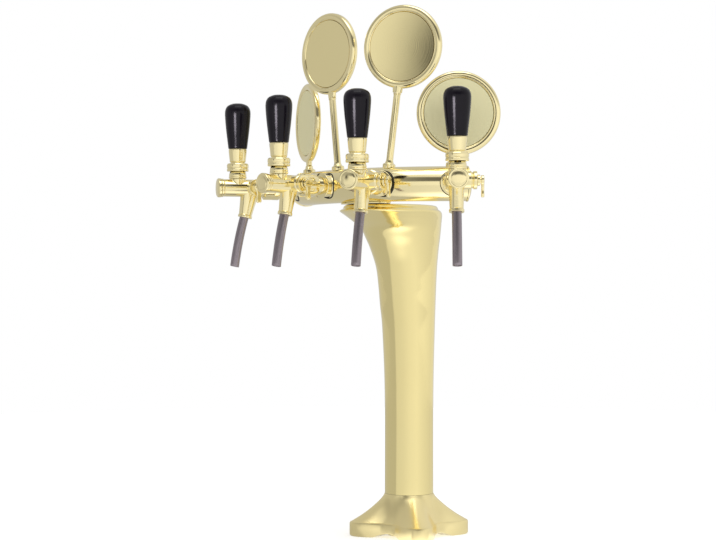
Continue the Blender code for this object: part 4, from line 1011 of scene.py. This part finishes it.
def funnel_shell():
    """An elbow from the barrel down to the spout's socket: oval rings whose half length, half width and place go
    from the barrel's to the socket's with the share of the drop."""
    share = np.linspace(FUNNEL_TOP_SHARE, 1.0, FUNNEL_ROWS)[:, None]
    height = -share * SOCKET_DROP
    half_length = FUNNEL_HALF_LENGTH + share**FUNNEL_LENGTH_POWER * (SOCKET_RADIUS - FUNNEL_HALF_LENGTH)
    half_width = FUNNEL_HALF_WIDTH + share * (SOCKET_RADIUS - FUNNEL_HALF_WIDTH)
    middle = spout_axis_y(height) + (1 - share**FUNNEL_SWELL_POWER) * (FUNNEL_REAR_SHIFT - spout_axis_y(0))
    a = circle(ROUND_COLUMNS)
    tilt = share**2 * math.tan(SPOUT_LEAN)
    y = half_length * np.sin(a)
    return surface(np.stack([half_width * np.cos(a), middle + y, height - tilt * y], -1))


def socket_shell():
    """The lip round the spout's mouthpiece, in the spout's frame."""
    bore = SPOUT_RADIUS + SEAT_GAP
    profile = [
        (bore, -SOCKET_LIP_HEIGHT),
        (SOCKET_LIP_RADIUS, -SOCKET_LIP_HEIGHT),
        (SOCKET_LIP_RADIUS, -0.25 * SOCKET_LIP_HEIGHT),
        (SOCKET_RADIUS, 0.05 * SOCKET_LIP_HEIGHT),
        (SOCKET_RADIUS * 0.97, 0.6 * SOCKET_LIP_HEIGHT),
        (bore, 0.6 * SOCKET_LIP_HEIGHT),
    ]
    return placed(revolved(softened(profile, loop=True)), spout_place(-SOCKET_DROP))


def tap_body_mesh():
    return mesh_of(barrel_shell(), neck_shell(), compensator_boss_shell(), funnel_shell(), socket_shell())


def front_cap_mesh():
    """The barrel's end: a beaded rim round a shallow dome, with a spigot in the bore."""
    spigot, start = BARREL_BORE_RADIUS - SEAT_GAP, BARREL_FRONT + SEAT_GAP
    root, end = start - CAP_SPIGOT_SHARE * CAP_WIDTH, start + CAP_WIDTH
    rim = [(spigot, root), (spigot, start), (CAP_RADIUS, start), (CAP_RADIUS, start + 0.78 * CAP_WIDTH)]
    rim = softened(rim + scaled(CAP_RIM_SHARES, CAP_RADIUS, CAP_WIDTH, start=end))
    dome = smooth(scaled(CAP_DOME_SHARES, CAP_RADIUS, CAP_DOME, start=end))
    profile = np.vstack([[(0, root)], rim, dome, [(0, end + CAP_DOME)]])
    return mesh_of(placed(revolved(profile), FRONTWARD))


def spout_mesh():
    """A thin tube with rolled ends; its frame is at its tip, with +Z up its axis. It bends a little: a point moves
    back by a parabola of its height, nothing at the ends."""
    bore = SPOUT_RADIUS - SPOUT_WALL
    heights = np.linspace(EDGE, SPOUT_LENGTH - EDGE, SPOUT_ROWS)
    outside, inside = (np.stack([radius + 0 * heights, heights], -1) for radius in (SPOUT_RADIUS, bore))
    step = 0.3 * EDGE
    lip = [(SPOUT_RADIUS - step, step), (SPOUT_RADIUS - 0.5 * SPOUT_WALL, 0), (bore + step, step)]
    tube = revolved(np.vstack([outside[::-1], lip, inside]), SPOUT_COLUMNS, lengthwise=True)
    share = (tube.points[:, 2] / SPOUT_LENGTH).clip(0, 1)
    bent = tube.points + np.stack([0 * share, -SPOUT_BOW * 4 * share * (1 - share), 0 * share], -1)
    return mesh_of(Shell(bent, tube.faces, tube.grain))


def compensator_mesh():
    """Spindle, disc, hub and a waisted paddle: its rings are superellipses that run down from the hub."""
    end = COMPENSATOR_BOSS_REACH + RUNNING_GAP
    outer = end + SPINDLE_DISC_WIDTH + PADDLE_OFFSET
    spindle = rod(SPINDLE_RADIUS, end - SPINDLE_DEPTH, end + SPINDLE_DISC_WIDTH / 2)
    disc = rod(SPINDLE_DISC_RADIUS, end, end + SPINDLE_DISC_WIDTH, edge=EDGE)
    hub = rod(PADDLE_HALF_BREADTH, end, outer - EDGE)
    head_radius, base = DISC_HEAD_SHARE * SPINDLE_DISC_RADIUS, outer - PADDLE_WIDTH
    head = [(0, base), (head_radius, base), (head_radius, outer - EDGE), (0.5 * SPINDLE_DISC_RADIUS, outer), (0, outer)]
    head = revolved(softened(head), SMALL_COLUMNS)
    rows = smooth(PADDLE_ROWS, CURVE_STEPS - 1)
    z, breadth, width = (rows[:, i : i + 1] for i in range(3))
    cos, sin = np.cos(circle(SMALL_COLUMNS)), np.sin(circle(SMALL_COLUMNS))
    x = width * PADDLE_WIDTH / 2 * np.sign(sin) * np.abs(sin) ** PADDLE_SQUARENESS + outer - PADDLE_WIDTH / 2
    y = breadth * np.sign(cos) * np.abs(cos) ** PADDLE_SQUARENESS
    paddle = surface(np.stack([x, y, z + 0 * cos], -1))
    return mesh_of(*(placed(shell, SIDEWARD) for shell in (spindle, disc, hub, head)), paddle)


# Handle: the frame of its pivot.


def bonnet_mesh():
    """A domed nut over the neck with a ball seat and a slot fore and aft."""
    bottom = NECK_HEIGHT + SEAT_GAP - PIVOT_HEIGHT
    sweep = np.linspace(0, math.pi / 2, DOME_ROWS)[:-1]
    dome = np.stack([DOME_RADIUS * np.cos(sweep), DOME_RADIUS * np.sin(sweep)], -1)
    heights = [0, 0, BONNET_LIP_HEIGHT, BONNET_GROOVE_HEIGHT]
    skirt = [(share * DOME_RADIUS, bottom + height) for share, height in zip(BONNET_SKIRT_SHARES, heights)]
    profile = np.vstack([[(0, bottom)], softened(skirt, EDGE / 2), dome, [(0, DOME_RADIUS)]])
    cavity = BALL_RADIUS + ROCKING_GAP
    half_width, reach = LEVER_STEM_RADIUS + LEVER_SLOT_SIDE_GAP, 2 * DOME_RADIUS
    slot = box_shell((-half_width, -reach, LEVER_SLOT_BOTTOM), (half_width, SLOT_REAR_SHARE * DOME_RADIUS, reach))
    ball = round_ball(cavity, BORE_COLUMNS, BORE_COLUMNS // 2)
    throat = rod(cavity * THROAT_SHARE, bottom - EDGE, 0, BORE_COLUMNS, EDGE / 3)
    return mesh_of(carved(revolved(profile), ball, throat, slot))


def lever_mesh():
    """A cupped collar with a ferrule above it, and the ball, stem, drive arm and stud in one line."""
    cup = DOME_RADIUS + ROCKING_GAP
    sweep = np.linspace(math.asin(COLLAR_BOTTOM / cup), CUP_TOP, CUP_ROWS)
    cup_profile = np.stack([cup * np.cos(sweep), cup * np.sin(sweep)], -1)
    ferrule = scaled(FERRULE_SHARES, FERRULE_RADIUS, 1, start=FERRULE_TOP)
    waist = scaled(WAIST_SHARES, FERRULE_LOW_RADIUS, 1, start=COLLAR_TOP)
    shoulder = scaled(SHOULDER_SHARES, COLLAR_RADIUS, 1, start=COLLAR_TOP)
    collar = scaled(COLLAR_SHARES, COLLAR_RADIUS, 1, start=COLLAR_BOTTOM)
    lip = (cup * math.cos(sweep[0]) + EDGE, COLLAR_BOTTOM)
    outside = softened([(LEVER_STEM_RADIUS, FERRULE_TOP), *ferrule, *waist, *shoulder, *collar, lip])
    profile = np.vstack([outside, cup_profile, [(LEVER_STEM_RADIUS * 0.9, cup_profile[-1, 1])]])
    return mesh_of(
        revolved(profile),
        rod(LEVER_STEM_RADIUS, 0, FERRULE_TOP + LEVER_STUD_HEIGHT),
        round_ball(BALL_RADIUS),
        rod(LEVER_ARM_RADIUS, -LEVER_ARM, 0),
        placed(round_ball(LEVER_TIP_RADIUS, HOLE_COLUMNS, HOLE_COLUMNS // 2), shift(0, 0, -LEVER_ARM)),
    )


def grip_mesh():
    """A tapered grip with a domed top and a blind hole."""
    base = FERRULE_TOP + SEAT_GAP
    widest, crown, swell = base + KNOB_WIDEST_HEIGHT, KNOB_HEIGHT - KNOB_WIDEST_HEIGHT, KNOB_RADIUS - KNOB_LOW_RADIUS
    flank = smooth(
        [
            (KNOB_LOW_RADIUS, base + 0.03 * KNOB_HEIGHT),
            *scaled(KNOB_FLANK_SHARES, swell, KNOB_WIDEST_HEIGHT, KNOB_LOW_RADIUS, base),
            *scaled(KNOB_SHOULDER_SHARES, KNOB_RADIUS, crown, start=widest),
            *scaled(KNOB_CROWN_SHARES, KNOB_CROWN_RADIUS, crown, start=widest),
        ]
    )
    hole = LEVER_STUD_RADIUS + SEAT_GAP
    low = [(hole, base + KNOB_HOLE_DEPTH), (hole, base), (0.95 * KNOB_LOW_RADIUS, base)]
    low = softened([*low, (KNOB_LOW_RADIUS, base + KNOB_FOOT_ROUND), tuple(flank[0])])
    profile = np.vstack([[(0, base + KNOB_HOLE_DEPTH)], low[:-1], flank, [(0, base + KNOB_HEIGHT)]])
    return mesh_of(revolved(profile))


# Medallion holders.


def medallion_mesh():
    """A dished holder: a rounded band, a groove and a thin bead round the recess, and the stem's boss below."""
    inner = MEDALLION_RADIUS - MEDALLION_BAND
    front, back = MEDALLION_DEPTH / 2, -MEDALLION_DEPTH / 2
    recess = front - MEDALLION_RECESS
    band = [
        (RECESS_MIDDLE_RADIUS, recess - FACE_DISH),
        (inner, recess),
        *scaled(MEDALLION_FRONT_SHARES, MEDALLION_BAND, -MEDALLION_BEAD, inner, front),
        *scaled(MEDALLION_BACK_SHARES, MEDALLION_RADIUS, MEDALLION_BEAD, start=back),
    ]
    band = softened(band, MEDALLION_EDGE, CORNER_STEPS + 1)
    profile = np.vstack([[(0, recess - FACE_DISH)], band, [(0, back + 0.2 * MEDALLION_BEAD)]])
    holder = placed(revolved(profile, BIG_COLUMNS), FRONTWARD)
    low, high = -MEDALLION_RADIUS - STEM_BOSS_LENGTH, -MEDALLION_RADIUS + 0.3 * MEDALLION_BAND
    heights = [low, low + EDGE, low + 0.5 * STEM_BOSS_LENGTH, -MEDALLION_RADIUS, high]
    a = circle(SMALL_COLUMNS)
    rows = []
    for height, share in zip(heights, STEM_BOSS_SHARES):
        depth = min(share * STEM_BOSS_RADIUS, STEM_BOSS_DEPTH_SHARE * MEDALLION_DEPTH)
        rows.append(np.stack([share * STEM_BOSS_RADIUS * np.cos(a), depth * np.sin(a), height + 0 * a], -1))
    return mesh_of(holder, surface(np.array(rows)))


def face_mesh():
    """A dished plate: its front falls away to the middle as the square of the radius's share."""
    radius = MEDALLION_RADIUS - MEDALLION_BAND - SEAT_GAP
    seat = MEDALLION_DEPTH / 2 - MEDALLION_RECESS + SEAT_GAP
    share = np.linspace(POLE_SHARE, 1.0, PLATE_ROWS)
    front = np.stack([share * radius, seat + FACE_THICKNESS - FACE_DISH * (1 - share**2)], -1)
    back = np.stack([share[::-1] * radius, seat - FACE_DISH * (1 - share[::-1] ** 2)], -1)
    profile = np.vstack([[(0, seat + FACE_THICKNESS - FACE_DISH)], front, back, [(0, seat - FACE_DISH)]])
    return mesh_of(placed(revolved(profile, BIG_COLUMNS), FRONTWARD))


def stem_mesh(height):
    """A rod with a stepped collar at its foot and a ring under the holder."""
    top = height - MEDALLION_RADIUS - STEM_BOSS_LENGTH - SEAT_GAP
    ring = STEM_RING_SHARE * STEM_RADIUS
    foot = [(0, -STEM_FOOT_DEPTH), (STEM_COLLAR_RADIUS, -STEM_FOOT_DEPTH)]
    foot += scaled(STEM_COLLAR_SHARES, STEM_COLLAR_RADIUS, STEM_COLLAR_HEIGHT)
    rod_points = [(STEM_RADIUS, 1.25 * STEM_COLLAR_HEIGHT), (STEM_RADIUS, top - STEM_RING_RUN_OUT)]
    head = [(ring, top - STEM_RING_LENGTH), (ring, top), (0, top)]
    return mesh_of(revolved(softened(foot + rod_points + head, STEM_EDGE), SMALL_COLUMNS))


# The tower.


def dress_column():
    for name, mesh, finish, node in [
        ("cast_foot", foot_mesh(), foot_gold, "foot"),
        ("polished_column", column_mesh(), column_gold, "column"),
        ("hood_saddle", saddle_mesh(), turned_gold, "saddle"),
        ("manifold_tube", manifold_mesh(), turned_gold, "manifold"),
    ]:
        piece(name, mesh, finish, "tower", replaces=[node])
    cap = end_cap_mesh()
    for side, name in ((-1, "left"), (1, "right")):
        end = side * MANIFOLD_HALF_ANGLE
        place = shift(*tube_point(np.array(end), 0.0, 0.0)) @ turn(end, "Z") @ turn(side * math.radians(90), "Y")
        piece(f"{name}_tube_cap", cap, turned_gold, "tower", place, [f"end_cap_{name}"])


def dress_taps():
    shank, gasket, nut, body, cap = shank_mesh(), gasket_mesh(), nut_mesh(), tap_body_mesh(), front_cap_mesh()
    spout, bonnet, lever, grip, paddle = spout_mesh(), bonnet_mesh(), lever_mesh(), grip_mesh(), compensator_mesh()
    for number, angle in enumerate(TAP_ANGLES, start=1):
        tap, pivot = tap_place(angle), pivot_place(angle)
        spindle, mouth = tap @ shift(0, COMPENSATOR_SETBACK, 0), tap @ spout_place(-SPOUT_TIP_DROP)
        handle, flow_lever = f"handle_{number}", f"flow_lever_{number}"
        for name, mesh, place, node, body_name, finish, slot in [
            ("threaded_shank", shank, station(angle), "shank", "tower", turned_gold, "polished_gold"),
            ("notched_nut", nut, tap, "coupling_nut", "tower", turned_gold, "polished_gold"),
            ("cast_body", body, tap, "tap_body", "tower", turned_gold, "polished_gold"),
            ("barrel_cap", cap, tap, "front_cap", "tower", turned_gold, "polished_gold"),
            ("domed_bonnet", bonnet, pivot, "bonnet", "tower", turned_gold, "polished_gold"),
            ("spout_tube", spout, mouth, "spout", "tower", steel, "spout_steel"),
            ("boss_gasket", gasket, station(angle), None, "tower", rubber, "line_foam"),
            ("ball_lever", lever, pivot, "lever", handle, turned_gold, "polished_gold"),
            ("black_knob", grip, pivot, "grip", handle, black, "black_grip"),
            ("flow_paddle", paddle, spindle, "compensator", flow_lever, turned_gold, "polished_gold"),
        ]:
            replaced = [f"{node}_{number}"] if node else []
            piece(f"{name}_{number}", mesh, finish, body_name, place, replaced)


def dress_medallions():
    holder, plate = medallion_mesh(), face_mesh()
    for number, angle in enumerate(TAP_ANGLES, start=1):
        foot, height = medallion_foot(angle), medallion_height(angle)
        head = foot @ shift(0, 0, height)
        # The low, outer plates take the satin gold that is painted brighter than the plate gold.
        plate_finish = plate_gold if height == HIGH_MEDALLION_HEIGHT else satin_plate_gold_painted_bright
        for name, mesh, finish, place, node in [
            ("holder_stem", stem_mesh(height), turned_gold, foot, "stem"),
            ("round_holder", holder, turned_gold, head, "medallion"),
            ("dished_plate", plate, plate_finish, head, "medallion_face"),
        ]:
            piece(f"{name}_{number}", mesh, finish, "tower", place, [f"{node}_{number}"])


def finish_kept_nodes():
    """The hidden parts stay as the CAD has them, with their own finishes."""
    for name, finish in {"line_bundle": foam, **{f"piston_{number}": valve for number in range(1, 5)}}.items():
        for slot in frame["nodes"][name].material_slots:
            slot.material = finish


# Studio.


def make_floor():
    """A pale round floor that shows as white to the camera where nothing shades it. For glossy rays it is near black
    and glows instead with a painted reflection of the studio's walls by azimuth and a painted bright patch in front of
    the tower."""
    a = circle(BIG_COLUMNS)
    mesh = bpy.data.meshes.new("floor")
    rim = np.stack([FLOOR_RADIUS * np.cos(a), FLOOR_RADIUS * np.sin(a), 0 * a], -1)
    mesh.from_pydata(rim.tolist(), [], [tuple(range(BIG_COLUMNS))])
    made, finish, shader, place = material("pale_floor")
    path = finish.node("ShaderNodeLightPath", output="Is Camera Ray")
    shiny = finish.node("ShaderNodeLightPath", output="Is Glossy Ray")
    x, y, _ = finish.parts(place)
    # Painted light for glossy rays: a bright patch on the floor in front of the tower, and the walls' glow by azimuth
    # below.
    painted_patch = hump(finish, bearing(finish, x, y), *PAINTED_PATCH_AZIMUTH) * hump(finish, x * x + y * y, *PAINTED_PATCH_REACH)
    finish.coat(
        shader,
        Base_Color=finish.blend(shiny, FLOOR_WHITE, FLOOR_IN_METAL),
        Roughness=0.9,
        Specular_IOR_Level=0.0,
        Emission_Color=(1, 1, 1, 1),
        Emission_Strength=path * FLOOR_GLOW + shiny * (FLOOR_PAINTED_WALL_GLOW * around(finish, x, y) + PAINTED_PATCH_GLOW * painted_patch),
    )
    mesh.materials.append(made)
    added("studio_floor", mesh)


def bearing(finish, x, y):
    """The azimuth of x and y from the front."""
    return finish.node("ShaderNodeMath", {"operation": "ARCTAN2"}, {0: x, 1: y * -1.0})


def around(finish, x, y):
    """How bright the studio's walls are in the direction of x and y, by azimuth from the front: a dim wall at the left
    that ends sharply, brightest at the right, and greyer behind."""
    return finish.node("ShaderNodeValToRGB", {"stops": WALL_STOPS}, {0: bearing(finish, x, y) / math.tau + 0.5})


def hump(finish, value, middle, width):
    """A bell over a value: one at its middle, and small past two widths."""
    off = (value - middle) / width
    return finish.node("ShaderNodeMath", {"operation": "EXPONENT"}, {0: off * off * -0.5})


def studio_level(finish):
    """How bright the studio is in a direction: its walls, a dark band over the front ones, a bright ceiling, and one
    dark flag at the left of the front."""
    x, y, z = finish.parts(finish.node("ShaderNodeTexCoord", output="Generated"))
    azimuth = bearing(finish, x, y)
    band = finish.node("ShaderNodeValToRGB", {"stops": BAND_STOPS}, {0: z})
    front = hump(finish, azimuth, *BAND_AZIMUTH)
    flag = hump(finish, azimuth, *FLAG_AZIMUTH) * hump(finish, z, *FLAG_RISE)
    return around(finish, x, y) * (1 - band * front * BAND_DEPTH) * (1 - flag * FLAG_DEPTH)


def make_studio():
    world = bpy.data.worlds.new("studio")
    world.use_nodes = True
    bpy.context.scene.world = world
    finish = Finish(world.node_tree)
    back = world.node_tree.nodes["Background"]
    finish.feed(back.inputs["Color"], (1, 1, 1, 1))
    camera_ray = finish.node("ShaderNodeLightPath", output="Is Camera Ray")
    level = studio_level(finish)
    finish.feed(back.inputs["Strength"], level * STUDIO_SHINE * (1 - camera_ray) + camera_ray)
    lamp("overhead_softbox", *SOFTBOX)
    strip = lamp("knob_strip", *KNOB_STRIP)
    strip.data.color = KNOB_STRIP_COLOUR
    lit = bpy.data.collections.new("lit_by_knob_strip")
    for number in range(1, 5):
        lit.objects.link(bpy.data.objects[f"black_knob_{number}"])
    strip.light_linking.receiver_collection = lit


def lamp(name, place, width, height, power):
    """A soft rectangular lamp that looks at the tower's middle."""
    data = bpy.data.lights.new(name, "AREA")
    data.shape = "RECTANGLE"
    data.size, data.size_y, data.energy = width, height, power
    made = added(name, data)
    made.location = place
    towards = Vector(LAMP_TARGET) - made.location
    made.rotation_euler = towards.to_track_quat("-Z", "Y").to_euler()
    return made


def make_camera():
    data = bpy.data.cameras.new("photo_camera")
    data.lens, data.sensor_width, data.shift_y = CAMERA_LENS, SENSOR_WIDTH, CAMERA_SHIFT
    camera = added("photo_camera", data)
    cos, sin = math.cos(CAMERA_AZIMUTH), math.sin(CAMERA_AZIMUTH)
    camera.location = (
        CAMERA_DISTANCE * sin + CAMERA_OFFSET * cos,
        -CAMERA_DISTANCE * cos + CAMERA_OFFSET * sin,
        CAMERA_HEIGHT,
    )
    camera.rotation_euler = (math.radians(90), 0, CAMERA_AZIMUTH)
    bpy.context.scene.camera = camera


dress_column()
dress_taps()
dress_medallions()
finish_kept_nodes()
make_floor()
make_studio()
make_camera()
bpy.context.scene.view_settings.view_transform = "Standard"
